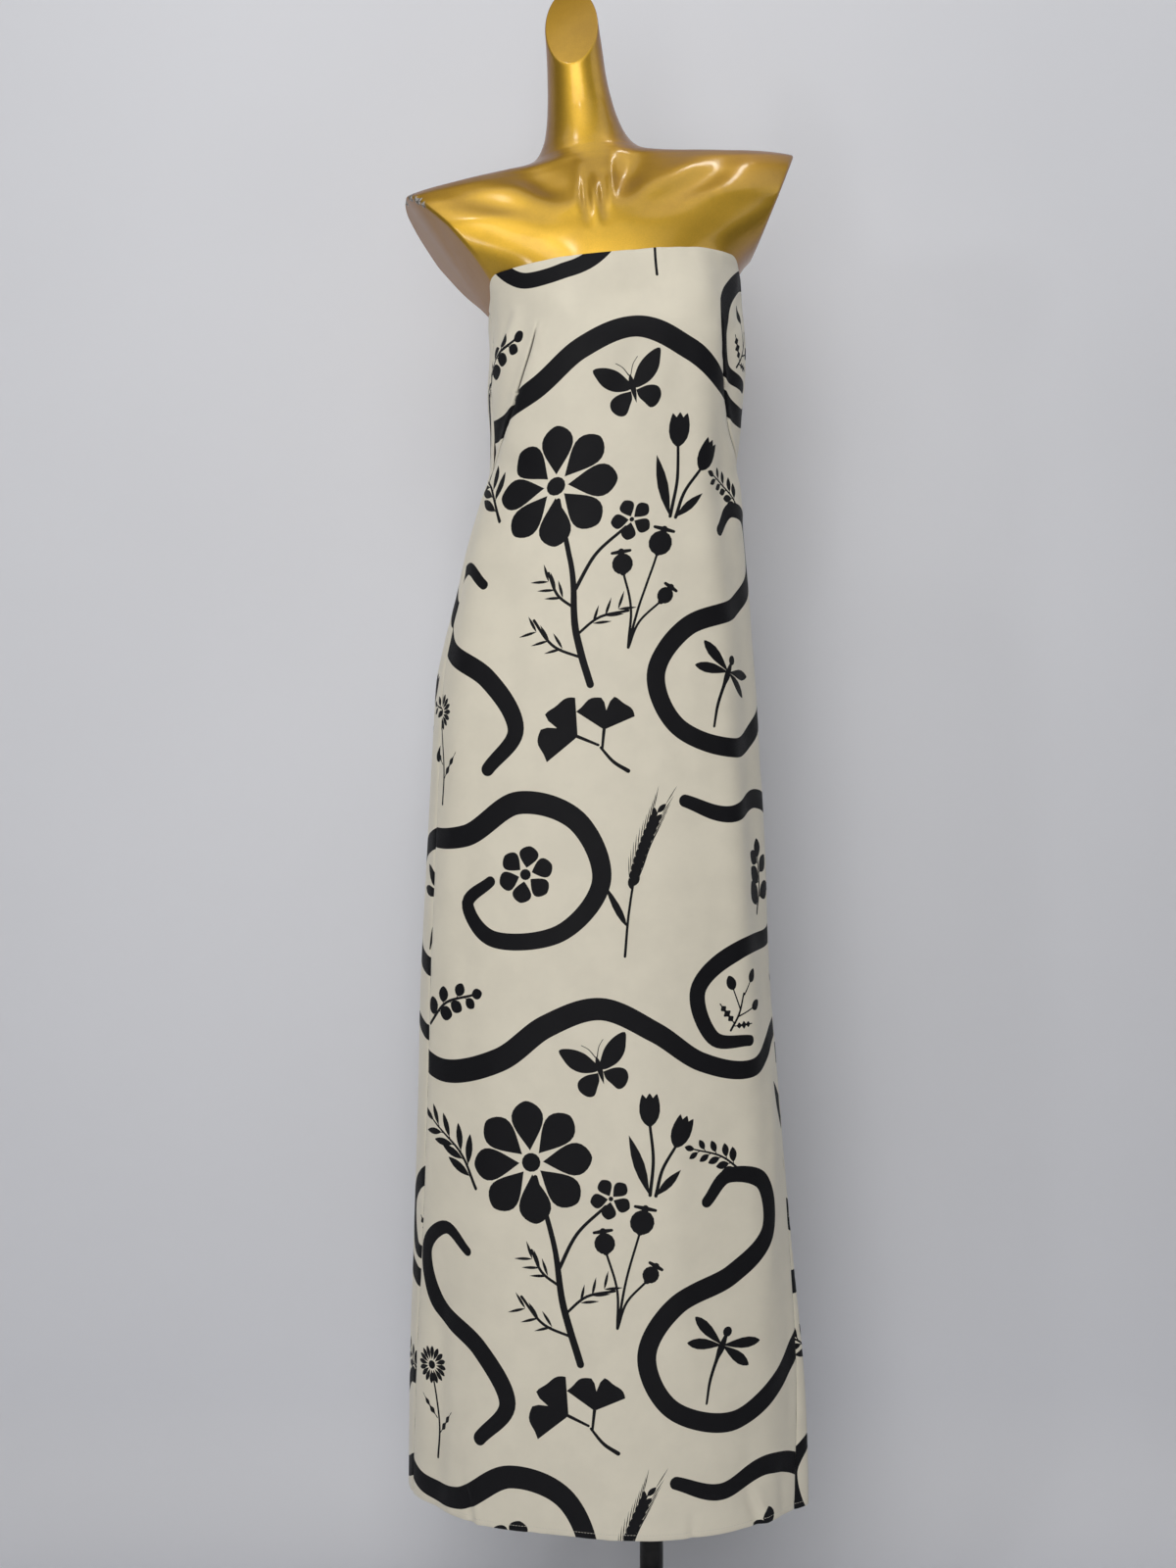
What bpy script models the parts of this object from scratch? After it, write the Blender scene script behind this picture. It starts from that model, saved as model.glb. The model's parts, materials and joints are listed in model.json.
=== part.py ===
"""A strapless maxi dress on a limbless display form that stands on a pole and a round base.

Metres, +Z up, the front faces -Y. The origin is the centre of the base's underside, under the pole.
Run it with: blender --background --python part.py
"""

import math
from collections import namedtuple

import bmesh
import bpy
import numpy as np
from mathutils import Matrix, Vector

# ---------------------------------------------------------------- driving dimensions
CLOTH = 0.0012  # wall of the dress
REST_GAP = 0.0018  # between the form and the cloth that it carries, before both are faceted
SEAM_GAP = 0.0003  # between pieces that meet
HEM_HEIGHT = 0.200
TOP_FRONT_HEIGHT = 1.489  # spine height of the dress's top edge, across the front
TOP_BACK_HEIGHT = 1.452
WAIST_ROW, WAIST_SHARE = 22, 0.36  # the mesh has this many rows over this share of a panel, from its top
HEM_ROW = 40
FRONT_COLUMNS = 26
BACK_COLUMNS = 13
TOP_EDGE_LEVELS = math.tan(math.radians(2.4))  # the edge slopes less than the form's chest does
SHOULDER_HEIGHT = 1.599  # spine height of the shoulder line

POLE_RADIUS = 0.0125
BASE_RADIUS = 0.170
BASE_THICKNESS = 0.008
HUB_RADIUS = 0.024
HUB_HEIGHT = 0.045
FLANGE_RADIUS = 0.045
FLANGE_THICKNESS = 0.006
COLLAR_RADIUS = 0.019
COLLAR_LENGTH = 0.060
TURNED_STEPS = 32

CHEST_HALF_WIDTH = 0.135
BUST_OUT = 0.070  # each bust point from the centre line
BUST_HEIGHT = 1.422
BUST_RISE = 0.022
BUST_WIDTH = 0.040
BUST_TALL = 0.045
SPINE_DEPTH = 0.006
SPINE_WIDTH = 0.024
SPINE_FROM = 1.06
SPINE_TO = 1.58

ZIP_LENGTH = 0.380
ZIP_TAPE_WIDTH = 0.024
ZIP_TAPE_THICKNESS = 0.0008

# ---------------------------------------------------------------- sections
# One row for each level of the spine: where the ring's centre is, its half width, its depth in front of
# and behind that centre, how square its corners are (2 is an ellipse), and how far the ring rolls (the
# wearer's left side up) and turns (the front towards +X), in degrees.
Section = namedtuple(
    "Section", "height centre_x centre_y half_width front back squareness roll yaw"
)

FORM_SECTIONS = [
    Section(0.930, -0.0585, 0.004, 0.1480, 0.0860, 0.1080, 2.2, 0.0, 2.0),  # flat lower end
    Section(1.000, -0.0590, 0.004, 0.1610, 0.0900, 0.1160, 2.2, 0.0, 2.0),
    Section(1.055, -0.0592, 0.004, 0.1665, 0.0940, 0.1190, 2.2, 0.0, 2.0),  # hips
    Section(1.100, -0.0570, 0.003, 0.1600, 0.0950, 0.1140, 2.2, 0.0, 2.2),
    Section(1.155, -0.0520, 0.002, 0.1480, 0.0940, 0.1020, 2.2, 0.0, 3.0),
    Section(1.210, -0.0475, 0.000, 0.1310, 0.0890, 0.0860, 2.2, 0.5, 3.6),
    Section(1.265, -0.0420, 0.000, 0.1200, 0.0850, 0.0790, 2.2, 1.5, 4.4),  # waist
    Section(1.320, -0.0395, 0.000, 0.1225, 0.0870, 0.0830, 2.2, 3.0, 5.2),
    Section(1.370, -0.0383, 0.000, 0.1290, 0.0930, 0.0900, 2.2, 4.5, 6.0),
    Section(1.420, -0.0375, 0.000, 0.1335, 0.0990, 0.0970, 2.2, 6.2, 6.5),  # bust
    Section(1.456, -0.0392, 0.000, 0.1350, 0.1030, 0.1020, 2.2, 7.8, 6.7),
    Section(1.474, -0.0419, 0.000, 0.1370, 0.1035, 0.1040, 2.2, 8.4, 6.7),  # under the arms
    Section(1.490, -0.0437, 0.001, 0.1480, 0.1025, 0.1050, 2.2, 8.8, 6.7),
    Section(1.514, -0.0465, 0.002, 0.1830, 0.0985, 0.1050, 2.1, 8.8, 6.7),
    Section(1.537, -0.0491, 0.003, 0.2180, 0.0920, 0.1030, 2.0, 8.8, 6.7),
    Section(1.554, -0.0510, 0.004, 0.2380, 0.0850, 0.0990, 2.0, 8.8, 6.7),
    Section(1.579, -0.0538, 0.006, 0.2400, 0.0710, 0.0870, 2.0, 8.8, 6.7),
    Section(1.596, -0.0558, 0.0072, 0.2320, 0.0583, 0.0731, 2.0, 8.8, 6.7),  # shoulder line
    Section(1.604, -0.0572, 0.0077, 0.2120, 0.0520, 0.0669, 2.0, 8.8, 6.7),
    Section(1.609, -0.0588, 0.0080, 0.1780, 0.0486, 0.0632, 2.0, 8.8, 6.7),
    Section(1.612, -0.0606, 0.0082, 0.1420, 0.0469, 0.0610, 2.0, 8.8, 6.7),
    Section(1.615, -0.0628, 0.0084, 0.1090, 0.0454, 0.0589, 2.0, 8.8, 6.7),
    Section(1.619, -0.0655, 0.0086, 0.0810, 0.0437, 0.0564, 2.0, 8.8, 6.7),
    Section(1.625, -0.0682, 0.0088, 0.0625, 0.0417, 0.0532, 2.0, 8.8, 6.7),
    Section(1.635, -0.0705, 0.0089, 0.0510, 0.0398, 0.0488, 2.0, 8.8, 6.7),  # root of the neck
    Section(1.652, -0.0729, 0.0083, 0.0422, 0.0380, 0.0436, 2.0, 8.6, 6.7),
    Section(1.676, -0.0762, 0.0067, 0.0361, 0.0366, 0.0393, 2.0, 8.2, 6.7),
    Section(1.706, -0.0798, 0.004, 0.0320, 0.0350, 0.0360, 2.0, 8.0, 6.7),
    Section(1.733, -0.0823, 0.001, 0.0302, 0.0340, 0.0345, 2.0, 8.0, 6.7),
    Section(1.771, -0.0865, -0.004, 0.0285, 0.0330, 0.0330, 2.0, 8.0, 6.7),
    Section(1.813, -0.0912, -0.010, 0.0275, 0.0320, 0.0320, 2.0, 8.0, 6.7),
    Section(1.860, -0.0966, -0.016, 0.0270, 0.0315, 0.0315, 2.0, 8.0, 6.7),  # above the neck's cut
]

# How far the front of the neck's root is filled out, so that the throat runs smoothly into the chest.
Fill = namedtuple("Fill", "height rise")
NECK_ROOT = [
    Fill(1.560, 0.0000),
    Fill(1.579, 0.0006),
    Fill(1.596, 0.0045),
    Fill(1.604, 0.0069),
    Fill(1.612, 0.0084),
    Fill(1.619, 0.0088),
    Fill(1.625, 0.0086),
    Fill(1.635, 0.0073),
    Fill(1.652, 0.0043),
    Fill(1.676, 0.0008),
    Fill(1.706, 0.0000),
]
NECK_ROOT_WIDTH = 0.050

DRESS_SECTIONS = [
    Section(0.200, -0.0552, 0.000, 0.2070, 0.1180, 0.1210, 2.0, 0.0, -8.0),  # hem
    Section(0.320, -0.0549, 0.000, 0.2050, 0.1170, 0.1210, 2.0, 0.0, -6.0),
    Section(0.440, -0.0556, 0.000, 0.1998, 0.1160, 0.1210, 2.0, 0.0, -4.0),
    Section(0.600, -0.0568, 0.000, 0.1927, 0.1150, 0.1210, 2.05, 0.0, -2.0),
    Section(0.760, -0.0603, 0.000, 0.1847, 0.1140, 0.1220, 2.1, 0.0, 0.0),
    Section(0.900, -0.0592, 0.000, 0.1786, 0.1130, 0.1240, 2.15, 0.0, 0.0),
    Section(1.000, -0.0595, 0.000, 0.1728, 0.1120, 0.1270, 2.2, 0.0, 1.0),
    Section(1.057, -0.0594, 0.000, 0.1696, 0.1110, 0.1275, 2.2, 0.0, 2.0),  # hips
    Section(1.100, -0.0570, 0.000, 0.1638, 0.1100, 0.1230, 2.2, 0.0, 2.2),
    Section(1.155, -0.0520, 0.000, 0.1548, 0.1095, 0.1140, 2.25, 0.0, 3.0),
    Section(1.200, -0.0494, 0.000, 0.1478, 0.1095, 0.1060, 2.3, 0.5, 3.5),
    Section(1.250, -0.0448, 0.000, 0.1385, 0.1100, 0.1000, 2.3, 1.0, 4.2),
    Section(1.290, -0.0408, 0.000, 0.1313, 0.1125, 0.0990, 2.35, 2.0, 4.8),  # waist
    Section(1.330, -0.0390, 0.000, 0.1325, 0.1160, 0.1000, 2.4, 3.0, 5.4),
    Section(1.380, -0.0383, 0.000, 0.1363, 0.1212, 0.1015, 2.4, 4.5, 6.0),
    Section(1.420, -0.0373, 0.000, 0.1360, 0.1234, 0.1030, 2.35, 5.5, 6.5),
    Section(1.520, -0.0400, 0.000, 0.1400, 0.1180, 0.1080, 2.3, 6.5, 6.7),  # above the top edge
]
FOLLOWS_FORM_FROM, FOLLOWS_FORM_AT = 1.400, 1.452  # the cloth leaves the form between these heights

# How far each side seam lies in front of the ring's side, in degrees, at each height.
Seam = namedtuple("Seam", "height right left")  # right and left are the wearer's
SIDE_SEAMS = [
    Seam(0.200, 20.0, 12.0),
    Seam(0.600, 23.0, 4.0),
    Seam(0.950, 22.0, 3.0),
    Seam(1.300, 12.0, 2.0),
    Seam(1.520, 8.0, 2.0),
]

# Soft vertical folds: the ring angle of each at the hem and at its upper end, in degrees (0 is +X, 90 the
# back, 270 the front), the height where it fades out, its half width in degrees and its height off the cloth.
Fold = namedtuple("Fold", "angle_at_hem angle_at_top fades_at half_width rise")
FOLDS = [
    Fold(-4, 0, 0.640, 7.0, 0.0140),  # the back swings out beside the left seam
    Fold(10, 12, 0.560, 6.0, -0.0050),
    Fold(38, 34, 0.900, 10.0, 0.0050),
    Fold(62, 66, 0.980, 9.0, -0.0050),
    Fold(88, 90, 1.020, 11.0, 0.0045),
    Fold(118, 114, 0.940, 9.0, -0.0060),
    Fold(146, 140, 0.860, 10.0, 0.0055),
    Fold(172, 168, 0.700, 7.0, -0.0030),
    Fold(216, 219, 0.560, 6.0, -0.0035),
    Fold(240, 243, 0.900, 10.0, 0.0030),
    Fold(262, 262, 0.800, 9.0, -0.0025),
    Fold(289, 287, 1.000, 11.0, 0.0030),
    Fold(322, 318, 0.760, 8.0, -0.0030),
]

# ---------------------------------------------------------------- cuts, in the shoulders' own axes
ARM_CUT_OUT = 0.1825  # from between the arms to the middle of each arm's flat end
ARM_CUT_SHIFT = 0.0035  # the point between the arms, to the left of the shoulders' centre
ARM_CUT_BELOW = 0.046  # below the shoulder line
ARM_CUT_TILT = 31.0  # the flat end faces down by this
ARM_CUT_FORWARD = 3.0  # and forward by this
ARM_CUT_REACH = 0.098  # from the middle of the flat end down to its lower end, under the cloth
ARM_CUT_RUN_OUT = 45.0  # from there the cut leaves the form's side at this angle to the flat end
NECK_CUT_CENTRE = (-0.0869, -0.004, 1.7657)
NECK_CUT_RISE_BACK = math.tan(math.radians(64))
NECK_CUT_RISE_LEFT = math.tan(math.radians(25))

GOLD = (0.76, 0.50, 0.13)
CREAM = (0.80, 0.72, 0.56)
BLACK = (0.02, 0.02, 0.022)
STEEL = (0.62, 0.60, 0.56)


# ---------------------------------------------------------------- helpers
def clear_scene():
    for thing in list(bpy.data.objects):
        bpy.data.objects.remove(thing)


def collection_named(name):
    made = bpy.data.collections.new(name)
    bpy.context.scene.collection.children.link(made)
    return made


def material(name, colour, roughness, metallic=0.0):
    made = bpy.data.materials.new(name)
    made.use_nodes = True
    shader = made.node_tree.nodes["Principled BSDF"]
    shader.inputs["Base Color"].default_value = (*colour, 1.0)
    shader.inputs["Roughness"].default_value = roughness
    shader.inputs["Metallic"].default_value = metallic
    return made


def put_in(collection, thing):
    for old in thing.users_collection:
        old.objects.unlink(thing)
    collection.objects.link(thing)
    return thing


def object_from(name, points, faces, collection, finish):
    mesh = bpy.data.meshes.new(name)
    mesh.from_pydata([tuple(p) for p in points], [], faces)
    mesh.materials.append(finish)
    mesh.shade_smooth()
    made = bpy.data.objects.new(name, mesh)
    collection.objects.link(made)
    return made


def smooth_step(t):
    t = np.clip(t, 0.0, 1.0)
    return t * t * (3 - 2 * t)


def through(knots, values, at):
    """A smooth curve through a table's values that never swings past them."""
    knots, values, at = np.asarray(knots), np.asarray(values), np.asarray(at, float)
    gap = np.diff(knots)
    slope = np.diff(values) / gap
    same_way = slope[:-1] * slope[1:] > 0
    harmonic = 2 * slope[:-1] * slope[1:] / np.where(same_way, slope[:-1] + slope[1:], 1)
    tangent = np.concatenate([slope[:1], np.where(same_way, harmonic, 0), slope[-1:]])
    i = np.clip(np.searchsorted(knots, at) - 1, 0, len(gap) - 1)
    t = (at - knots[i]) / gap[i]
    return (
        values[i] * (1 + 2 * t) * (1 - t) ** 2
        + tangent[i] * gap[i] * t * (1 - t) ** 2
        + values[i + 1] * t**2 * (3 - 2 * t)
        + tangent[i + 1] * gap[i] * t**2 * (t - 1)
    )


def section_at(table, height):
    """The table's section at each height, as a Section of arrays."""
    knots = [row.height for row in table]
    columns = [through(knots, [row[k] for row in table], height) for k in range(1, 9)]
    return Section(np.asarray(height, float), *columns)


def ring_in_plane(section, angle, grow):
    """The ring's points across and along its own plane, grown outwards by grow."""
    c, s = np.cos(angle), np.sin(angle)
    power = 2 / section.squareness
    depth = np.where(s > 0, section.back, section.front) + grow
    across = (section.half_width + grow) * np.sign(c) * np.abs(c) ** power
    return across, depth * np.sign(s) * np.abs(s) ** power


def placed(section, across, along):
    """Row-frame points from a ring's own plane, rolled and turned about its centre."""
    roll, yaw = np.radians(section.roll), np.radians(section.yaw)
    turned_x = across * np.cos(yaw) - along * np.sin(yaw)
    turned_y = across * np.sin(yaw) + along * np.cos(yaw)
    return np.stack(
        [
            section.centre_x + turned_x * np.cos(roll),
            section.centre_y + turned_y,
            section.height + turned_x * np.sin(roll),
        ],
        axis=-1,
    )


# ---------------------------------------------------------------- the two surfaces
def form_point(angle, height, grow=0.0, spine=1.0):
    """The form's surface. spine of 0 bridges the hollow of the back, as cloth does."""
    angle, height = np.broadcast_arrays(np.asarray(angle, float), np.asarray(height, float))
    section = section_at(FORM_SECTIONS, height)
    across, along = ring_in_plane(section, angle, grow)
    front = smooth_step(-2.0 * np.sin(angle))
    bust = np.exp(-(((np.abs(across) - BUST_OUT) / BUST_WIDTH) ** 2))
    bust *= np.exp(-(((height - BUST_HEIGHT) / BUST_TALL) ** 2))
    hollow = np.exp(-((across / SPINE_WIDTH) ** 2)) * (np.sin(angle) > 0)
    hollow *= smooth_step((height - SPINE_FROM) / 0.06) * smooth_step((SPINE_TO - height) / 0.08)
    along = along - BUST_RISE * bust * front - spine * SPINE_DEPTH * hollow
    knots = [fill.height for fill in NECK_ROOT]
    rise = through(knots, [fill.rise for fill in NECK_ROOT], np.clip(height, knots[0], knots[-1]))
    rise *= np.clip(-np.sin(angle), 0, 1) * np.exp(-((across / NECK_ROOT_WIDTH) ** 2))
    along = along - rise
    return placed(section, across, along)


def fold_rise(angle, height):
    """How far the folds lift the skirt at each place."""
    degrees = np.degrees(angle)
    rise = np.zeros_like(height)
    for fold in FOLDS:
        down = np.clip((fold.fades_at - height) / (fold.fades_at - HEM_HEIGHT), 0, 1)
        centre = fold.angle_at_top + (fold.angle_at_hem - fold.angle_at_top) * down
        away = (degrees - centre + 180) % 360 - 180
        rise = rise + fold.rise * smooth_step(down) * np.exp(-((away / fold.half_width) ** 2))
    return rise


def dress_point(angle, height, grow=0.0):
    """The dress's inner face, or its outer one with grow of CLOTH."""
    angle, height = np.broadcast_arrays(np.asarray(angle, float), np.asarray(height, float))
    section = section_at(DRESS_SECTIONS, height)
    across, along = ring_in_plane(section, angle, grow + fold_rise(angle, height))
    hanging = placed(section, across, along)
    following = form_point(angle, height, grow + REST_GAP, spine=0.0)
    share = smooth_step((height - FOLLOWS_FORM_FROM) / (FOLLOWS_FORM_AT - FOLLOWS_FORM_FROM))
    return hanging + (following - hanging) * share[..., None]


def top_edge_height(angle):
    """Straight across the front, dipping under the arms to a lower back."""
    forward = np.degrees(np.arcsin(-np.sin(angle)))
    share = smooth_step((forward + 8) / 45)
    level = TOP_FRONT_HEIGHT - TOP_EDGE_LEVELS * CHEST_HALF_WIDTH * np.cos(angle)
    return TOP_BACK_HEIGHT + (level - TOP_BACK_HEIGHT) * share


def seam_angles(height):
    """The ring angles of the wearer's right and left side seams."""
    knots = [row.height for row in SIDE_SEAMS]
    right = 180 + through(knots, [row.right for row in SIDE_SEAMS], height)
    left = 360 - through(knots, [row.left for row in SIDE_SEAMS], height)
    return np.radians(right), np.radians(left)


def even_angles(start, end, height, steps):
    """Ring angles from start to end that are evenly spaced along the cloth, SEAM_GAP/2 in from both."""
    fine = np.linspace(start, end, 241)
    points = dress_point(fine, np.full_like(fine, height))
    run = np.concatenate([[0], np.cumsum(np.linalg.norm(np.diff(points, axis=0), axis=1))])
    wanted = np.linspace(SEAM_GAP / 2, run[-1] - SEAM_GAP / 2, steps + 1)
    return np.interp(wanted, run, fine)


# ---------------------------------------------------------------- meshes from grids
def wall_between(name, outer, inner, collection, finish):
    """A cloth wall between two grids of points, each rows x columns."""
    rows, columns = outer.shape[:2]
    points = np.concatenate([outer.reshape(-1, 3), inner.reshape(-1, 3)])
    half = rows * columns

    def at(row, column, side):
        return side * half + row * columns + column

    faces = []
    for r in range(rows - 1):
        for c in range(columns - 1):
            faces.append((at(r, c, 0), at(r, c + 1, 0), at(r + 1, c + 1, 0), at(r + 1, c, 0)))
            faces.append((at(r, c, 1), at(r + 1, c, 1), at(r + 1, c + 1, 1), at(r, c + 1, 1)))
    for r in range(rows - 1):
        for c, (a, b) in ((0, (r, r + 1)), (columns - 1, (r + 1, r))):
            faces.append((at(a, c, 0), at(b, c, 0), at(b, c, 1), at(a, c, 1)))
    for c in range(columns - 1):
        for r, (a, b) in ((0, (c + 1, c)), (rows - 1, (c, c + 1))):
            faces.append((at(r, a, 0), at(r, b, 0), at(r, b, 1), at(r, a, 1)))
    made = object_from(name, points, faces, collection, finish)
    face_outwards(made.data)
    return made


def face_outwards(mesh):
    shape = bmesh.new()
    shape.from_mesh(mesh)
    bmesh.ops.recalc_face_normals(shape, faces=shape.faces)
    if shape.calc_volume(signed=True) < 0:
        bmesh.ops.reverse_faces(shape, faces=shape.faces)
    shape.to_mesh(mesh)
    shape.free()


def loft(name, rings, collection, finish):
    """Closed rings of equal length joined in order, with both ends capped."""
    count, around = len(rings), len(rings[0])
    faces = [
        (
            r * around + c,
            r * around + (c + 1) % around,
            (r + 1) * around + (c + 1) % around,
            (r + 1) * around + c,
        )
        for r in range(count - 1)
        for c in range(around)
    ]
    faces.append(tuple(reversed(range(around))))
    faces.append(tuple(range((count - 1) * around, count * around)))
    made = object_from(name, np.concatenate(rings), faces, collection, finish)
    face_outwards(made.data)
    return made


def turned(name, profile, collection, finish):
    """A solid of revolution about Z from (radius, height) points, the outer side running down."""
    mesh = bpy.data.meshes.new(name)
    edges = [(i, i + 1) for i in range(len(profile) - 1)]
    mesh.from_pydata([(radius, 0, height) for radius, height in profile], edges, [])
    mesh.materials.append(finish)
    made = bpy.data.objects.new(name, mesh)
    collection.objects.link(made)
    spin = made.modifiers.new("turn", "SCREW")
    spin.steps = spin.render_steps = TURNED_STEPS
    spin.use_merge_vertices = True
    spin.merge_threshold = 0.00001
    return made


def block(name, size, centre, collection):
    """An upright box of that size, as an object of its own."""
    bpy.ops.mesh.primitive_cube_add(size=1)
    made = bpy.context.object
    made.name = name
    made.data.transform(Matrix.Translation(centre) @ Matrix.Diagonal((*size, 1)))
    return put_in(collection, made)


def plane_cutter(name, point, normal, collection, below=0.15, run_out=90.0):
    """A large box whose one face lies on the plane, on the side that the normal points to.
    That face ends at below under the point, where the box's lower side leaves it at the run_out angle."""
    side = 0.30
    made = block(name, (side, side, side), (0, 0, side / 2), collection)
    for corner in made.data.vertices:
        if corner.co.y < 0:
            corner.co.y = -below - corner.co.z / math.tan(math.radians(run_out))
    made.location = point
    made.rotation_mode = "QUATERNION"
    made.rotation_quaternion = Vector(normal).to_track_quat("Z", "Y")
    made.hide_render = True
    made.display_type = "WIRE"
    return made


def boolean(target, other, operation):
    change = target.modifiers.new(f"{operation.lower()} {other.name}", "BOOLEAN")
    change.operation = operation
    change.object = other


# ---------------------------------------------------------------- the stand
def build_stand(parts, black):
    bore = POLE_RADIUS + SEAM_GAP
    bore_floor = BASE_THICKNESS
    edge = 0.002
    turned(
        "base_plate",
        [
            (0, bore_floor),
            (bore, bore_floor),
            (bore, HUB_HEIGHT),
            (HUB_RADIUS - edge, HUB_HEIGHT),
            (HUB_RADIUS, HUB_HEIGHT - edge),
            (HUB_RADIUS, BASE_THICKNESS + 3 * edge),
            (HUB_RADIUS + 3 * edge, BASE_THICKNESS),
            (BASE_RADIUS - edge, BASE_THICKNESS),
            (BASE_RADIUS, BASE_THICKNESS - edge),
            (BASE_RADIUS, edge),
            (BASE_RADIUS - edge, 0),
            (0, 0),
        ],
        parts,
        black,
    )
    form_bottom = FORM_SECTIONS[0].height
    flange_top = form_bottom - SEAM_GAP
    flange_under = flange_top - FLANGE_THICKNESS
    turned(
        "pole_flange",
        [
            (0, flange_top),
            (FLANGE_RADIUS, flange_top),
            (FLANGE_RADIUS, flange_under),
            (COLLAR_RADIUS, flange_under),
            (COLLAR_RADIUS, flange_under - COLLAR_LENGTH),
            (bore, flange_under - COLLAR_LENGTH),
            (bore, flange_under),
            (0, flange_under),
        ],
        parts,
        black,
    )
    foot, head = bore_floor + SEAM_GAP, flange_under - SEAM_GAP
    bpy.ops.mesh.primitive_cylinder_add(
        vertices=TURNED_STEPS, radius=POLE_RADIUS, depth=head - foot, location=(0, 0, (foot + head) / 2)
    )
    pole = put_in(parts, bpy.context.object)
    pole.name = "pole"
    pole.data.materials.append(black)
    pole.data.shade_smooth()
    pole.data.set_sharp_from_angle(angle=math.radians(40))


# ---------------------------------------------------------------- the display form
def shoulder_axes():
    """The centre and the axes (to the wearer's left, back, up) of the rolled and turned shoulders."""
    row = section_at(FORM_SECTIONS, np.array(SHOULDER_HEIGHT))
    roll, yaw = math.radians(float(row.roll)), math.radians(float(row.yaw))
    axes = Matrix.Rotation(-roll, 3, "Y") @ Matrix.Rotation(yaw, 3, "Z")
    centre = Vector((float(row.centre_x), float(row.centre_y), SHOULDER_HEIGHT))
    return centre, axes


def build_form(parts, cutters, gold):
    around, between = 48, 2
    heights = []
    for low, high in zip(FORM_SECTIONS[:-1], FORM_SECTIONS[1:]):
        steps = between if high.height - low.height > 0.012 else 1
        heights += list(np.linspace(low.height, high.height, steps, endpoint=False))
    heights.append(FORM_SECTIONS[-1].height)
    angles = np.linspace(0, 2 * math.pi, around, endpoint=False)
    rings = [form_point(angles, np.full(around, h)) for h in heights]
    form = loft("dress_form", rings, parts, gold)

    centre, axes = shoulder_axes()
    tilt, forward = math.radians(ARM_CUT_TILT), math.radians(ARM_CUT_FORWARD)
    for side, name in ((1, "left_arm_cutter"), (-1, "right_arm_cutter")):
        normal = axes @ Vector(
            (
                side * math.cos(tilt) * math.cos(forward),
                -math.sin(forward),
                -math.sin(tilt) * math.cos(forward),
            )
        )
        point = centre + axes @ Vector((ARM_CUT_SHIFT + side * ARM_CUT_OUT, 0, -ARM_CUT_BELOW))
        cutter = plane_cutter(name, point, normal, cutters, ARM_CUT_REACH, ARM_CUT_RUN_OUT)
        boolean(form, cutter, "DIFFERENCE")
    normal = (-NECK_CUT_RISE_LEFT, -NECK_CUT_RISE_BACK, 1)
    boolean(form, plane_cutter("neck_cutter", NECK_CUT_CENTRE, normal, cutters), "DIFFERENCE")
    form.data.set_sharp_from_angle(angle=math.radians(40))


# ---------------------------------------------------------------- the dress
def row_shares():
    """How far down the panels each row of the mesh lies, closer together above the waist."""
    return np.interp(np.arange(HEM_ROW + 1), [0, WAIST_ROW, HEM_ROW], [0, WAIST_SHARE, 1])


def panel_places(spans, columns):
    """The ring angle and height of each of a panel's points. spans(height) gives its two seams' angles."""
    angles, heights = [], []
    for share in row_shares():
        level = TOP_FRONT_HEIGHT + (HEM_HEIGHT - TOP_FRONT_HEIGHT) * share
        row = even_angles(*spans(level), level, columns)
        top = top_edge_height(row)
        angles.append(row)
        heights.append(top + (HEM_HEIGHT - top) * share)
    return np.array(angles), np.array(heights)


def back_middle(height):
    right, left = seam_angles(height)
    return (left - 2 * math.pi + right) / 2


def back_left_span(height):
    return seam_angles(height)[1] - 2 * math.pi, back_middle(height)


def back_right_span(height):
    return back_middle(height), seam_angles(height)[0]


PANELS = {
    "dress_front": (seam_angles, FRONT_COLUMNS),
    "dress_back_left": (back_left_span, BACK_COLUMNS),
    "dress_back_right": (back_right_span, BACK_COLUMNS),
}


def build_dress(parts, cloth):
    for name, (spans, columns) in PANELS.items():
        angles, heights = panel_places(spans, columns)
        outer, inner = dress_point(angles, heights, CLOTH), dress_point(angles, heights)
        wall_between(name, outer, inner, parts, cloth)


# ---------------------------------------------------------------- the zip at the middle of the back
SLIDER_BELOW_TOP = 0.010
SLIDER_SIZE = (0.0065, 0.0016, 0.0110)  # across, out, up
BRIDGE_WIDTH = 0.0022
BRIDGE_EYE = 0.0020
BRIDGE_WALL = 0.0009
TAB_BAR = 0.0010
TAB_WIDTH = 0.0062
TAB_LEG = 0.0014
TAB_SLOT = 0.0042
TAB_LENGTH = 0.0230


def beside_seam(grow):
    """Three points of each row at the back's middle: the seam and half a tape to either side of it."""
    rows = []
    for name, edge, next_in in (("dress_back_left", -1, -2), ("dress_back_right", 0, 1)):
        angles, heights = panel_places(*PANELS[name])
        seam = dress_point(angles[:, edge], heights[:, edge], grow)
        away = dress_point(angles[:, next_in], heights[:, next_in], grow) - seam
        away *= ZIP_TAPE_WIDTH / 2 / np.linalg.norm(away, axis=1, keepdims=True)
        rows.append((seam, seam + away))
    (left_seam, left), (right_seam, right) = rows
    return np.stack([left, (left_seam + right_seam) / 2, right], axis=1)


def build_zip_tape(parts, cloth):
    """The closed tape and coil behind the middle seam, in the hollow of the form's back."""
    outer, inner = beside_seam(-SEAM_GAP), beside_seam(-SEAM_GAP - ZIP_TAPE_THICKNESS)
    covered = TOP_BACK_HEIGHT - outer[:, 1, 2] < ZIP_LENGTH
    wall_between("zip_tape", outer[covered], inner[covered], parts, cloth)


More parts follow.
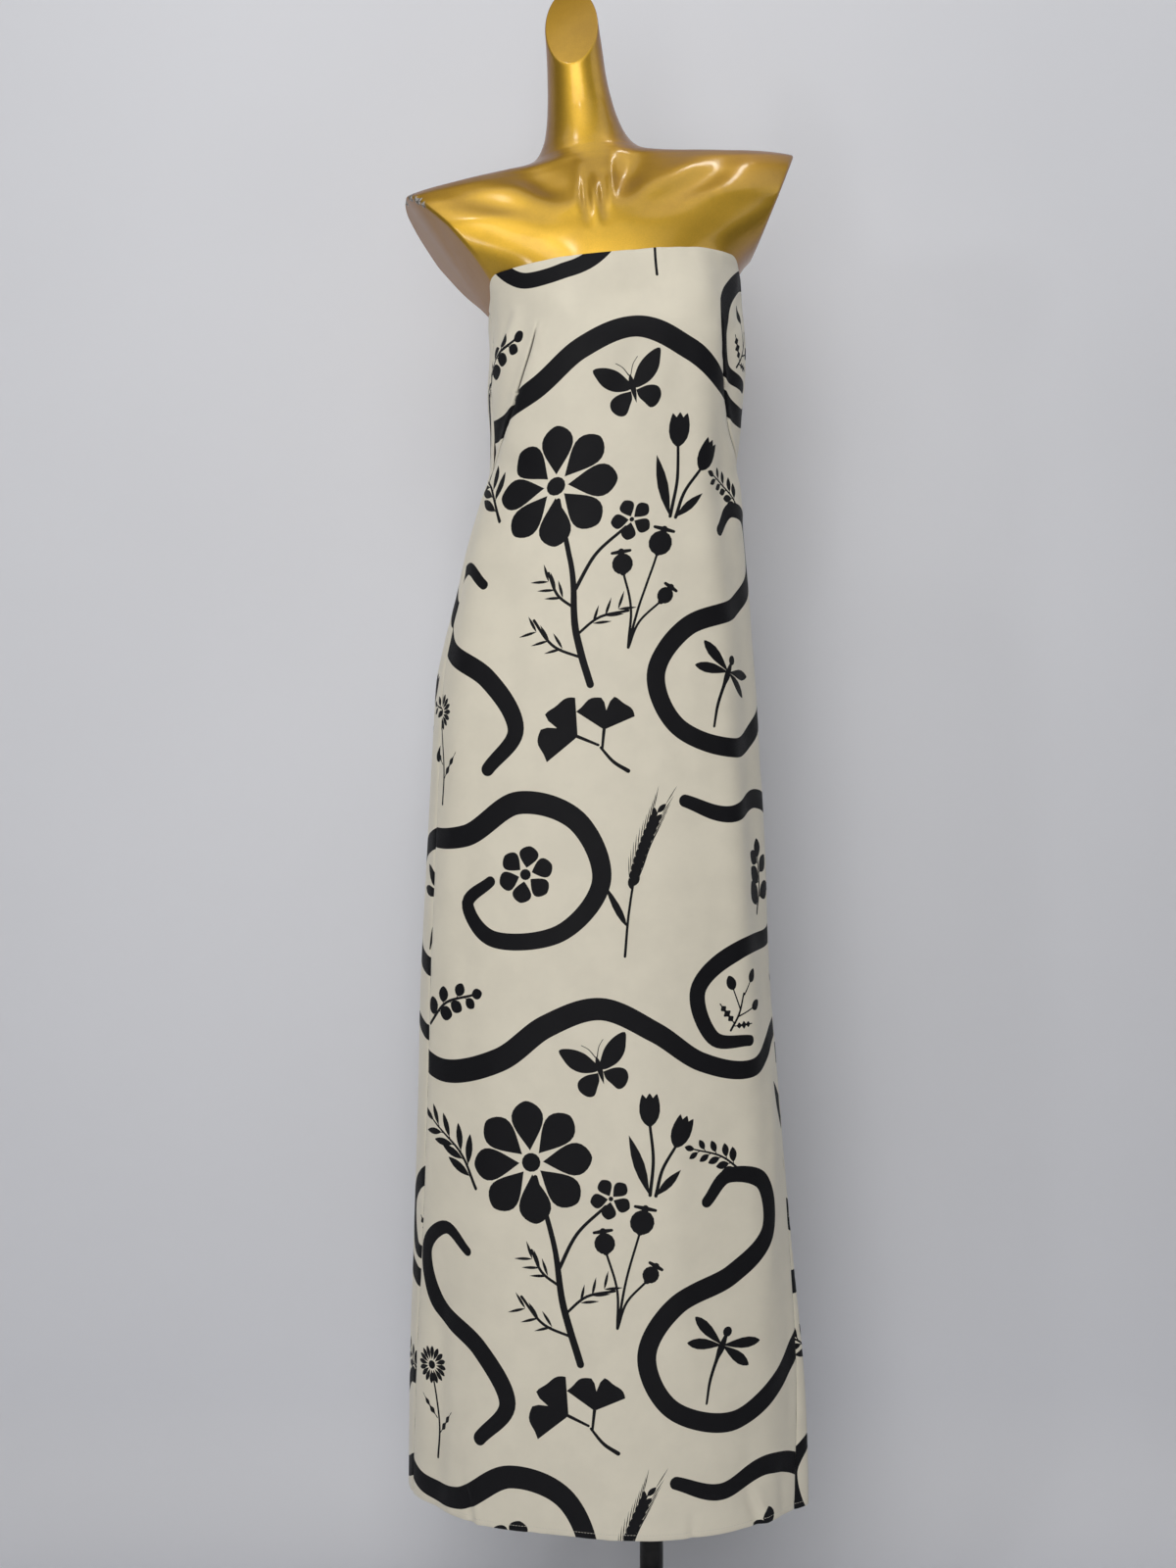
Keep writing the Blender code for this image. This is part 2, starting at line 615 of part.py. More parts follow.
def zip_axes():
    """Where the slider sits on the cloth, with axes across, out of and up the back."""
    row_step = row_shares()[1] * (TOP_BACK_HEIGHT - HEM_HEIGHT)
    middle = back_middle(TOP_BACK_HEIGHT)
    face = CLOTH + SEAM_GAP
    top = Vector(dress_point(middle, TOP_BACK_HEIGHT, face))
    below = Vector(dress_point(middle, TOP_BACK_HEIGHT - row_step, face))
    seat = top.lerp(below, SLIDER_BELOW_TOP / row_step)
    turn = 0.02
    left = dress_point(middle - turn, TOP_BACK_HEIGHT, face)
    right = dress_point(middle + turn, TOP_BACK_HEIGHT, face)
    across = Vector(left - right).normalized()
    out = (top - below).cross(across).normalized()
    up = across.cross(out)
    frame = Matrix((across, out, up)).transposed().to_4x4()
    return Matrix.Translation(seat) @ frame


def build_slider(parts, cutters, steel):
    place = zip_axes()
    wide, thick, tall = SLIDER_SIZE
    axis_out = thick + BRIDGE_EYE / 2
    slider = block("zip_slider", SLIDER_SIZE, (0, thick / 2, 0), parts)
    slider.data.materials.append(steel)
    bridge_side = BRIDGE_EYE + 2 * BRIDGE_WALL
    overlap = 0.0005
    bridge_out = BRIDGE_EYE + BRIDGE_WALL + overlap
    bridge = block(
        "slider_bridge",
        (BRIDGE_WIDTH, bridge_out, bridge_side),
        (0, thick - overlap + bridge_out / 2, 0),
        cutters,
    )
    eye = block(
        "slider_eye", (2 * BRIDGE_WIDTH, BRIDGE_EYE, BRIDGE_EYE), (0, axis_out, 0), cutters
    )
    boolean(slider, bridge, "UNION")
    boolean(slider, eye, "DIFFERENCE")

    tab = block(
        "zip_pull",
        (TAB_WIDTH, TAB_BAR, TAB_LENGTH),
        (0, 0, TAB_BAR / 2 - TAB_LENGTH / 2),
        parts,
    )
    tab.data.materials.append(steel)
    slot = block(
        "pull_slot",
        (TAB_WIDTH - 2 * TAB_LEG, 4 * TAB_BAR, TAB_SLOT),
        (0, 0, -TAB_BAR / 2 - TAB_SLOT / 2),
        cutters,
    )
    boolean(tab, slot, "DIFFERENCE")
    for helper in (bridge, eye, slot):
        helper.hide_render = True
        helper.display_type = "WIRE"
    for thing in (slider, bridge, eye):
        thing.matrix_world = place
    hangs_plumb = math.atan2(-place.col[1].z, place.col[2].z)  # the cloth leans out over the tab
    for thing in (tab, slot):
        thing.matrix_world = (
            place @ Matrix.Translation((0, axis_out, 0)) @ Matrix.Rotation(hangs_plumb, 4, "X")
        )


# ---------------------------------------------------------------- the whole
def main():
    clear_scene()
    parts = collection_named("maxi_dress_on_form")
    cutters = collection_named("cutters")
    gold = material("gold_paint", GOLD, 0.28, 0.9)
    cloth = material("dress_cloth", CREAM, 0.6)
    black = material("black_metal", BLACK, 0.4, 0.3)
    steel = material("zip_metal", STEEL, 0.35, 0.9)
    build_stand(parts, black)
    build_form(parts, cutters, gold)
    build_dress(parts, cloth)
    build_zip_tape(parts, cloth)
    build_slider(parts, cutters, steel)


main()
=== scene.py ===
import json
import math
from collections import namedtuple

import bmesh
import bpy
import numpy as np
from mathutils import Matrix, Vector
from mathutils.geometry import delaunay_2d_cdt
from mathutils.kdtree import KDTree


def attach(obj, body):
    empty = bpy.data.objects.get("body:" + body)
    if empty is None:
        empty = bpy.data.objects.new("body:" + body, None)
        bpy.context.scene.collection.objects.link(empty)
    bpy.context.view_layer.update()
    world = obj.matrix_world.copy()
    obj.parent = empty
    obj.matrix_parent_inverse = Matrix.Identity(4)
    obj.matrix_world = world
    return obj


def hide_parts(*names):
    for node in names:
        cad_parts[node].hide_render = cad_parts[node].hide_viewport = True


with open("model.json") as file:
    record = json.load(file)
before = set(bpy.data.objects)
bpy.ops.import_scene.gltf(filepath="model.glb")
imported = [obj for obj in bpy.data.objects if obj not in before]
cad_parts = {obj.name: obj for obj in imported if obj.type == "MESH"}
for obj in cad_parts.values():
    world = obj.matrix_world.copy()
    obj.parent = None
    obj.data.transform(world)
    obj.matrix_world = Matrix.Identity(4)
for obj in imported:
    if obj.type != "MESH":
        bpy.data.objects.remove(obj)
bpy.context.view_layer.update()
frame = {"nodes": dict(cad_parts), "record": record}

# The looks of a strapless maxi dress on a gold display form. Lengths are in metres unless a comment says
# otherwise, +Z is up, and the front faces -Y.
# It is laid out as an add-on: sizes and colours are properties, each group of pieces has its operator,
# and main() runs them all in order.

bl_info = {
    "name": "Maxi dress on a display form",
    "version": (1, 0, 0),
    "blender": (4, 5, 0),
    "location": "3D View > Sidebar > Maxi dress",
    "description": "Cloth, print, seams, zip, gold form and studio of a strapless maxi dress",
    "category": "Object",
}

BODY, PULL_BODY = "dress_on_form", "pull_tab"

# --- sizes shared with the solids
CLOTH = 0.0012  # from the dress's inner face to its outer one
REST_GAP = 0.0008  # between the form and the cloth that it carries
SEAM_GAP = 0.0003
HEM_HEIGHT = 0.200
TOP_FRONT_HEIGHT = 1.489
TOP_BACK_HEIGHT = 1.452
TOP_EDGE_LEVELS = math.tan(math.radians(2.4))
SHOULDER_HEIGHT = 1.599
POLE_RADIUS = 0.0125
BASE_RADIUS, BASE_THICKNESS = 0.170, 0.008
HUB_RADIUS, HUB_HEIGHT = 0.024, 0.045
WELD = 0.006  # the slope between the hub and the plate
FLANGE_RADIUS, FLANGE_THICKNESS = 0.045, 0.006
COLLAR_RADIUS, COLLAR_LENGTH = 0.019, 0.060
CHEST_HALF_WIDTH = 0.135
BUST_OUT, BUST_HEIGHT, BUST_RISE, BUST_WIDTH, BUST_TALL = 0.070, 1.422, 0.022, 0.040, 0.045
SPINE_DEPTH, SPINE_WIDTH, SPINE_FROM, SPINE_TO = 0.006, 0.024, 1.06, 1.58
SPINE_FADE_LOW, SPINE_FADE_HIGH = 0.06, 0.08


def rows_of(kind, lengths, rows):
    """A table's rows. The first so many values of each are lengths, written in millimetres."""
    return [kind(*(value / 1000 for value in row[:lengths]), *row[lengths:]) for row in rows]


# A ring of the form or the dress: its half width, its depths to the front and the back, how square it is
# (2 is an ellipse), and its roll and yaw in degrees.
Section = namedtuple("Section", "height centre_x centre_y half_width front back squareness roll yaw")

FORM_SECTIONS = rows_of(Section, 6, [
    (930, -58.5, 4, 148, 86, 108, 2.2, 0, 2),  # flat lower end
    (1000, -59, 4, 161, 90, 116, 2.2, 0, 2),
    (1055, -59.2, 4, 166.5, 94, 119, 2.2, 0, 2),  # hips
    (1100, -57, 3, 160, 95, 114, 2.2, 0, 2.2),
    (1155, -52, 2, 148, 94, 102, 2.2, 0, 3),
    (1210, -47.5, 0, 131, 89, 86, 2.2, 0.5, 3.6),
    (1265, -42, 0, 120, 85, 79, 2.2, 1.5, 4.4),  # waist
    (1320, -39.5, 0, 122.5, 87, 83, 2.2, 3, 5.2),
    (1370, -38.3, 0, 129, 93, 90, 2.2, 4.5, 6),
    (1420, -37.5, 0, 133.5, 99, 97, 2.2, 6.2, 6.5),  # bust
    (1456, -39.2, 0, 135, 103, 102, 2.2, 7.8, 6.7),
    (1474, -41.9, 0, 137, 103.5, 104, 2.2, 8.4, 6.7),  # under the arms
    (1490, -43.7, 1, 148, 102.5, 105, 2.2, 8.8, 6.7),
    (1514, -46.5, 2, 183, 98.5, 105, 2.1, 8.8, 6.7),
    (1537, -49.1, 3, 218, 92, 103, 2, 8.8, 6.7),
    (1554, -51, 4, 238, 85, 99, 2, 8.8, 6.7),
    (1579, -53.8, 6, 240, 71, 87, 2, 8.8, 6.7),
    (1596, -55.8, 7.2, 232, 58.3, 73.1, 2, 8.8, 6.7),  # shoulder line
    (1604, -57.2, 7.7, 212, 52, 66.9, 2, 8.8, 6.7),
    (1609, -58.8, 8, 178, 48.6, 63.2, 2, 8.8, 6.7),
    (1612, -60.6, 8.2, 142, 46.9, 61, 2, 8.8, 6.7),
    (1615, -62.8, 8.4, 109, 45.4, 58.9, 2, 8.8, 6.7),
    (1619, -65.5, 8.6, 81, 43.7, 56.4, 2, 8.8, 6.7),
    (1625, -68.2, 8.8, 62.5, 41.7, 53.2, 2, 8.8, 6.7),
    (1635, -70.5, 8.9, 51, 39.8, 48.8, 2, 8.8, 6.7),  # root of the neck
    (1652, -72.9, 8.3, 42.2, 38, 43.6, 2, 8.6, 6.7),
    (1676, -76.2, 6.7, 36.1, 36.6, 39.3, 2, 8.2, 6.7),
    (1706, -79.8, 4, 32, 35, 36, 2, 8, 6.7),
    (1733, -82.3, 1, 30.2, 34, 34.5, 2, 8, 6.7),
    (1771, -86.5, -4, 28.5, 33, 33, 2, 8, 6.7),
    (1813, -91.2, -10, 27.5, 32, 32, 2, 8, 6.7),
    (1860, -96.6, -16, 27, 31.5, 31.5, 2, 8, 6.7),  # above the neck's cut
])

# How far the front of the neck's root is filled out, so that the throat runs smoothly into the chest.
Fill = namedtuple("Fill", "height rise")
NECK_ROOT = rows_of(Fill, 2, [
    (1560, 0), (1579, 0.6), (1596, 4.5), (1604, 6.9), (1612, 8.4), (1619, 8.8),
    (1625, 8.6), (1635, 7.3), (1652, 4.3), (1676, 0.8), (1706, 0),
])
NECK_ROOT_WIDTH = 0.050

DRESS_SECTIONS = rows_of(Section, 6, [
    (200, -55.2, 0, 207, 118, 121, 2, 0, -8),  # hem
    (320, -54.9, 0, 205, 117, 121, 2, 0, -6),
    (440, -55.6, 0, 199.8, 116, 121, 2, 0, -4),
    (600, -56.8, 0, 192.7, 115, 121, 2.05, 0, -2),
    (760, -60.3, 0, 184.7, 114, 122, 2.1, 0, 0),
    (900, -59.2, 0, 178.6, 113, 124, 2.15, 0, 0),
    (1000, -59.5, 0, 172.8, 112, 127, 2.2, 0, 1),
    (1057, -59.4, 0, 169.6, 111, 127.5, 2.2, 0, 2),  # hips
    (1100, -57, 0, 163.8, 110, 123, 2.2, 0, 2.2),
    (1155, -52, 0, 154.8, 109.5, 114, 2.25, 0, 3),
    (1200, -49.4, 0, 147.8, 109.5, 106, 2.3, 0.5, 3.5),
    (1250, -44.8, 0, 138.5, 110, 100, 2.3, 1, 4.2),
    (1290, -40.8, 0, 131.3, 112.5, 99, 2.35, 2, 4.8),  # waist
    (1330, -39, 0, 132.5, 116, 100, 2.4, 3, 5.4),
    (1380, -38.3, 0, 136.3, 121.2, 101.5, 2.4, 4.5, 6),
    (1420, -37.3, 0, 136, 123.4, 103, 2.35, 5.5, 6.5),
    (1520, -40, 0, 140, 118, 108, 2.3, 6.5, 6.7),  # above the top edge
])
FOLLOWS_FORM_FROM, FOLLOWS_FORM_AT = 1.400, 1.452  # the cloth leaves the form between these heights

# How far each side seam lies in front of the ring's side, in degrees, at each height.
Seam = namedtuple("Seam", "height right left")  # right and left are the wearer's
SIDE_SEAMS = rows_of(Seam, 1, [(200, 20, 12), (600, 23, 4), (950, 22, 3), (1300, 12, 2), (1520, 8, 2)])

# Soft vertical folds: the height where each fades out, how far it rises off the cloth, its ring angle at the
# hem and at its upper end (0 is +X, 90 the back, 270 the front) and its half width, in degrees.
Fold = namedtuple("Fold", "fades_at rise angle_at_hem angle_at_top half_width")
FOLDS = rows_of(Fold, 2, [
    (640, 14, -4, 0, 7),  # the back swings out beside the left seam
    (560, -5, 10, 12, 6),
    (900, 5, 38, 34, 10),
    (980, -5, 62, 66, 9),
    (1020, 4.5, 88, 90, 11),
    (940, -6, 118, 114, 9),
    (860, 5.5, 146, 140, 10),
    (700, -3, 172, 168, 7),
    (560, -3.5, 216, 219, 6),
    (900, 3, 240, 243, 10),
    (800, -2.5, 262, 262, 9),
    (1000, 3, 289, 287, 11),
    (760, -3, 322, 318, 8),
])

# --- cuts, in the shoulders' own axes
ARM_CUT_OUT = 0.1825  # from between the arms to the middle of each arm's flat end
ARM_CUT_SHIFT = 0.0035  # the point between the arms, to the left of the shoulders' centre
ARM_CUT_BELOW = 0.046  # below the shoulder line
ARM_CUT_TILT = 31.0  # the flat end faces down by this
ARM_CUT_FORWARD = 3.0  # and forward by this
ARM_CUT_REACH = 0.098  # from the middle of the flat end down to its lower end, under the cloth
ARM_CUT_RUN_OUT = 45.0  # from there the cut leaves the form's side at this angle to the flat end
NECK_CUT_CENTRE = (-0.0869, -0.004, 1.7657)
NECK_CUT_RISE_BACK = math.tan(math.radians(64))
NECK_CUT_RISE_LEFT = math.tan(math.radians(25))


def smooth_step(t):
    t = np.clip(t, 0.0, 1.0)
    return t * t * (3 - 2 * t)


def bell(away, width):
    return np.exp(-((away / width) ** 2))


def through(knots, values, at):
    """A smooth curve through a table's values that never swings past them."""
    knots, values, at = np.asarray(knots), np.asarray(values), np.asarray(at, float)
    gap = np.diff(knots)
    slope = np.diff(values) / gap
    same_way = slope[:-1] * slope[1:] > 0
    harmonic = 2 * slope[:-1] * slope[1:] / np.where(same_way, slope[:-1] + slope[1:], 1)
    tangent = np.concatenate([slope[:1], np.where(same_way, harmonic, 0), slope[-1:]])
    i = np.clip(np.searchsorted(knots, at) - 1, 0, len(gap) - 1)
    t = (at - knots[i]) / gap[i]
    return (
        values[i] * (1 + 2 * t) * (1 - t) ** 2
        + tangent[i] * gap[i] * t * (1 - t) ** 2
        + values[i + 1] * t**2 * (3 - 2 * t)
        + tangent[i + 1] * gap[i] * t**2 * (t - 1)
    )


def section_at(table, height):
    """The table's section at each height, as a Section of arrays."""
    knots = [row.height for row in table]
    columns = [through(knots, [row[k] for row in table], height) for k in range(1, 9)]
    return Section(np.asarray(height, float), *columns)


def ring_in_plane(section, angle, grow):
    """The ring's points across and along its own plane, grown outwards by grow."""
    c, s = np.cos(angle), np.sin(angle)
    power = 2 / section.squareness
    depth = np.where(s > 0, section.back, section.front) + grow
    across = (section.half_width + grow) * np.sign(c) * np.abs(c) ** power
    return across, depth * np.sign(s) * np.abs(s) ** power


def placed(section, across, along):
    """Row-frame points from a ring's own plane, rolled and turned about its centre."""
    roll, yaw = np.radians(section.roll), np.radians(section.yaw)
    turned_x = across * np.cos(yaw) - along * np.sin(yaw)
    turned_y = across * np.sin(yaw) + along * np.cos(yaw)
    x, z = section.centre_x + turned_x * np.cos(roll), section.height + turned_x * np.sin(roll)
    return np.stack([x, section.centre_y + turned_y, z], axis=-1)


# --- the two surfaces
def form_point(angle, height, grow=0.0, spine=1.0):
    """The form's surface. spine of 0 bridges the hollow of the back, as cloth does."""
    angle, height = np.broadcast_arrays(np.asarray(angle, float), np.asarray(height, float))
    section = section_at(FORM_SECTIONS, height)
    across, along = ring_in_plane(section, angle, grow)
    front = smooth_step(-2.0 * np.sin(angle))
    bust = bell(np.abs(across) - BUST_OUT, BUST_WIDTH) * bell(height - BUST_HEIGHT, BUST_TALL)
    hollow = bell(across, SPINE_WIDTH) * (np.sin(angle) > 0)
    hollow *= smooth_step((height - SPINE_FROM) / SPINE_FADE_LOW)
    hollow *= smooth_step((SPINE_TO - height) / SPINE_FADE_HIGH)
    along = along - BUST_RISE * bust * front - spine * SPINE_DEPTH * hollow
    knots = [fill.height for fill in NECK_ROOT]
    rise = through(knots, [fill.rise for fill in NECK_ROOT], np.clip(height, knots[0], knots[-1]))
    rise *= np.clip(-np.sin(angle), 0, 1) * bell(across, NECK_ROOT_WIDTH)
    return placed(section, across, along - rise)


def fold_rise(angle, height):
    """How far the folds lift the skirt at each place."""
    degrees = np.degrees(angle)
    rise = np.zeros_like(height)
    for fold in FOLDS:
        down = np.clip((fold.fades_at - height) / (fold.fades_at - HEM_HEIGHT), 0, 1)
        centre = fold.angle_at_top + (fold.angle_at_hem - fold.angle_at_top) * down
        away = (degrees - centre + 180) % 360 - 180
        rise = rise + fold.rise * smooth_step(down) * bell(away, fold.half_width)
    return rise


def dress_point(angle, height, grow=0.0):
    """The dress's inner face, or its outer one with grow of CLOTH."""
    angle, height = np.broadcast_arrays(np.asarray(angle, float), np.asarray(height, float))
    section = section_at(DRESS_SECTIONS, height)
    across, along = ring_in_plane(section, angle, grow + fold_rise(angle, height))
    hanging = placed(section, across, along)
    following = form_point(angle, height, grow + REST_GAP, spine=0.0)
    share = smooth_step((height - FOLLOWS_FORM_FROM) / (FOLLOWS_FORM_AT - FOLLOWS_FORM_FROM))
    return hanging + (following - hanging) * share[..., None]


def top_edge_height(angle):
    """Straight across the front, dipping under the arms to a lower back."""
    forward = np.degrees(np.arcsin(-np.sin(angle)))
    share = smooth_step((forward + 8) / 45)
    level = TOP_FRONT_HEIGHT - TOP_EDGE_LEVELS * CHEST_HALF_WIDTH * np.cos(angle)
    return TOP_BACK_HEIGHT + (level - TOP_BACK_HEIGHT) * share


def seam_angles(height):
    """The ring angles of the wearer's right and left side seams."""
    knots = [row.height for row in SIDE_SEAMS]
    right = 180 + through(knots, [row.right for row in SIDE_SEAMS], height)
    left = 360 - through(knots, [row.left for row in SIDE_SEAMS], height)
    return np.radians(right), np.radians(left)


# --- the print, in centimetres of flat cloth
TILE_WIDTH, TILE_HEIGHT = 62.0, 68.0  # the print repeats after this much cloth
PATH_STEP = 0.4  # between the points of a drawn outline


def smooth_path(points, step=PATH_STEP):
    """Evenly spaced rows along a smooth curve through rows of (x, y, anything else)."""
    knots = np.asarray(points, float)
    before, after = 2 * knots[0] - knots[1], 2 * knots[-1] - knots[-2]
    p = np.vstack([before, knots, after])
    rows = []
    for a, b, c, d in zip(p[:-3], p[1:-2], p[2:-1], p[3:]):
        t = np.linspace(0, 1, max(3, int(np.hypot(*(c - b)[:2]) / step * 2)), endpoint=False)[:, None]
        bend = (2 * a - 5 * b + 4 * c - d) * t**2 / 2
        rows.append(b + (c - a) * t / 2 + bend + (3 * b - a - 3 * c + d) * t**3 / 2)
    rows = np.vstack(rows + [knots[-1:]])
    run = np.concatenate([[0], np.cumsum(np.hypot(*np.diff(rows[:, :2], axis=0).T))])
    wanted = np.linspace(0, run[-1], max(4, round(run[-1] / step) + 1))
    return np.stack([np.interp(wanted, run, column) for column in rows.T], axis=1)


def sideways(path):
    """A step of one to the left of a path, at each of its points."""
    ahead = np.gradient(path, axis=0)
    return np.stack([-ahead[:, 1], ahead[:, 0]], axis=1) / np.hypot(*ahead.T)[:, None]


def ribbon(points, step=PATH_STEP):
    """The outline of a stroke along rows of (x, y, width), with round ends."""
    path = smooth_path(points, step)
    side = sideways(path[:, :2]) * path[:, 2:3] / 2
    turn = np.linspace(0, np.pi, 3 + int(8 * path[0, 2] ** 0.5))[1:-1, None]
    end = path[-1, :2] + side[-1] * np.cos(turn) + side[-1] @ [[0, -1], [1, 0]] * np.sin(turn)
    start = path[0, :2] - side[0] * np.cos(turn) - side[0] @ [[0, -1], [1, 0]] * np.sin(turn)
    return np.vstack([path[:, :2] + side, end, (path[:, :2] - side)[::-1], start])


def leaf(base, tip, width, belly=0.45, blunt=1.0, lobes=0, points=9):
    """A leaf or petal between two points. belly is where it is widest, blunt under 1 rounds its ends."""
    base, tip = np.asarray(base, float), np.asarray(tip, float)
    t = np.linspace(0, 1, max(points, 6 * lobes + 1))
    if not lobes:
        t = (1 - np.cos(np.pi * t)) / 2
    half = width / 2 * np.sin(np.pi * t ** (math.log(0.5) / math.log(belly))) ** blunt
    if lobes:
        half = half * (0.62 + 0.38 * np.cos(2 * np.pi * lobes * t))
    along = tip - base
    side = np.array([-along[1], along[0]]) / np.hypot(*along)
    middle = base + along * t[:, None]
    right = middle - side * half[:, None]
    return np.vstack([middle + side * half[:, None], right[::-1][1:-1]])


def disc(centre, radius, points=14):
    turn = np.linspace(0, 2 * np.pi, points, endpoint=False)
    return np.asarray(centre) + radius * np.stack([np.cos(turn), np.sin(turn)], axis=1)


def from_angle(degrees, length=1.0):
    """A step of that length: 0 degrees points up, and more turns it clockwise."""
    return length * np.array([math.sin(math.radians(degrees)), math.cos(math.radians(degrees))])


def along(path, share):
    """The place at a share of a path, and which way it runs there, in the degrees of from_angle."""
    index = int(share * (len(path) - 1))
    ahead = path[min(index + 1, len(path) - 1)] - path[max(index - 1, 0)]
    return path[index, :2], math.degrees(math.atan2(ahead[0], ahead[1]))


def flower_head(centre, petals, inner, outer, width, belly=0.62, blunt=0.7, turn=0.0):
    """Petals around a disc, with a sliver of bare cloth between the two."""
    made = [disc(centre, inner * 0.8)]
    points = 9 if width < 1.5 else 15
    for k in range(petals):
        step = from_angle(turn + 360 * k / petals)
        made.append(leaf(centre + inner * step, centre + outer * step, width, belly, blunt, points=points))
    return made


def daisy(petals=16):
    """A long-stemmed daisy with two narrow leaves."""
    stem = [(0, 0, 0.45), (0.6, 5, 0.4), (0.2, 10, 0.35), (-0.4, 14, 0.3)]
    head = flower_head(np.array([-0.5, 15.5]), petals, 0.9, 3.2, 0.85, turn=5)
    leaves = [leaf((0.5, 4), (4.2, 8.5), 1.1, lobes=3), leaf((0.3, 6.5), (-3.0, 10.5), 1.0, lobes=3)]
    return [ribbon(stem)] + head + leaves


def cosmos():
    """A broad flower seen from above, its bud, and thread-like leaves."""
    stem = smooth_path([(2.5, 0, 0.75), (1.2, 6, 0.7), (0.8, 12, 0.55), (-0.5, 19, 0.45)])
    made = [ribbon(stem)] + flower_head(np.array([-0.8, 20.5]), 8, 1.2, 6.2, 3.3, belly=0.66, blunt=0.62)
    made += [ribbon([(1.0, 9.5, 0.4), (3.2, 13, 0.35), (6.3, 15.5, 0.3)])]
    made += flower_head(np.array([6.9, 16.2]), 5, 0.3, 2.1, 1.5, turn=50)
    for foot, lean, reach in ((3, -62, 6.5), (5.5, 55, 5.5), (8, -48, 4.6)):
        row = stem[int(foot / 19 * (len(stem) - 1))][:2]
        rib = [row, row + from_angle(lean, reach / 2), row + from_angle(lean + 14, reach)]
        made.append(ribbon([(*p, 0.28) for p in rib]))
        for share in (0.35, 0.6, 0.85):
            start = row + from_angle(lean + 8 * share, reach * share)
            for side in (-38, 34):
                made.append(leaf(start, start + from_angle(lean + side, 1.9), 0.3))
    return made


def fern(length=16.0, pairs=15):
    """A frond whose leaflets shrink towards its tip."""
    rib = [(0, 0, 0.4), (0.8, length * 0.35, 0.35), (0.2, length * 0.7, 0.25), (-1.8, length, 0.1)]
    rib = smooth_path(rib)
    made = [ribbon(rib)]
    for k in range(2 * pairs):
        share = 0.14 + 0.83 * k / (2 * pairs - 1)
        foot, turn = along(rib, share)
        reach = 3.6 * math.sin(math.pi * min(1, share + 0.18) ** 1.1) + 0.35
        tip = foot + from_angle(turn + (58 if k % 2 else -58), reach)
        made.append(leaf(foot, tip, 0.72, belly=0.4, blunt=0.85))
    return made


def leafy_twig(stem, leaves, length, width, lean=42, belly=0.5, blunt=0.8, lobes=0):
    """A twig with leaves in turn on its two sides and one at its end."""
    rib = smooth_path(stem)
    made = [ribbon(rib)]
    for k in range(leaves):
        foot, turn = along(rib, 0.16 + 0.74 * k / (leaves - 1))
        turn += lean if k % 2 else -lean
        start = foot + from_angle(turn, 0.35)
        reach = length * (1 - 0.35 * k / leaves)
        made.append(ribbon([(*foot, 0.15), (*start, 0.12)]))
        made.append(leaf(start, start + from_angle(turn, reach), width * reach / length, belly, blunt, lobes))
    foot, turn = along(rib, 1)
    made.append(leaf(foot, foot + from_angle(turn, length * 0.7), width * 0.7, belly, blunt, lobes))
    return made


def tulips():
    """Two tulips with blade leaves."""
    made = []
    for lean, tall, foot in ((-9, 9.5, -0.3), (14, 7.2, 0.5)):
        foot = np.array([foot, 0])
        bend, top = foot + from_angle(lean * 0.4, tall / 2), foot + from_angle(lean, tall)
        made.append(ribbon([(*foot, 0.5), (*bend, 0.45), (*top, 0.4)]))
        base = top - from_angle(lean, 0.3)
        for tilt, wide in ((-14, 1.9), (14, 1.9), (0, 2.1)):
            made.append(leaf(base, top + from_angle(lean + tilt, 4.2), wide, belly=0.42, blunt=0.8))
    return made + [leaf((-0.4, 0), (-4.4, 7.6), 1.5, belly=0.5), leaf((0.5, 0), (3.4, 3.8), 1.2, belly=0.5)]


def ginkgo(size=4.6):
    """Two fan leaves on one twig."""
    made = []
    for foot, lean, scale in (((0, 0), -38, 1.0), ((0.2, -0.6), 34, 0.85)):
        foot = np.array(foot, float)
        neck = foot + from_angle(lean, 2.6 * scale)
        spread = np.radians(np.linspace(-62, 62, 23))
        edge = size * scale * (1 - 0.42 * np.exp(-((spread / 0.10) ** 2)) + 0.03 * np.sin(9 * spread))
        turn = spread + math.radians(lean)
        fan = neck + np.stack([np.sin(turn), np.cos(turn)], axis=1) * edge[:, None]
        made += [np.vstack([neck[None], fan])[::-1], ribbon([(*foot, 0.3), (*neck, 0.4)])]
    return made + [ribbon([(0.1, -0.4, 0.3), (0.6, -2.6, 0.4), (1.6, -4.4, 0.5)])]


def barley(grains=11):
    """An ear of barley on a bent stalk."""
    stalk = smooth_path([(1.5, 0, 0.3), (0.6, 5, 0.28), (0.2, 10, 0.25), (0.8, 16, 0.15)])
    made = [ribbon(stalk)]
    for k in range(2 * grains):
        foot, way = along(stalk, 0.46 + 0.54 * k / (2 * grains - 1))
        turn = way + (24 if k % 2 else -24)
        tip = foot + from_angle(turn, 1.35)
        made.append(leaf(foot, tip, 0.62, belly=0.5, blunt=0.8, points=7))
        beard = from_angle(turn * 0.45 + way * 0.55, 2.4)
        made.append(leaf(tip - 0.2 * beard / 2.4, tip + beard, 0.11, points=5))
    return made + [leaf((0.8, 3.2), (-2.8, 7.0), 0.8, belly=0.4)]


def dragonfly():
    """Four wings and a segmented tail."""
    tail = [(0, 1.6, 0.5), (0, 0, 0.95), (0, -1.4, 0.5), (0.25, -4, 0.4), (1.0, -6.6, 0.3)]
    made = [ribbon(tail), disc((0, 2.1), 0.62)]
    for turn, reach in ((68, 5.4), (-68, 5.4), (104, 4.8), (-104, 4.8)):
        made.append(leaf((0, 0.4), from_angle(turn, reach) + (0, 0.4), 1.35, belly=0.62, blunt=0.7))
    return made


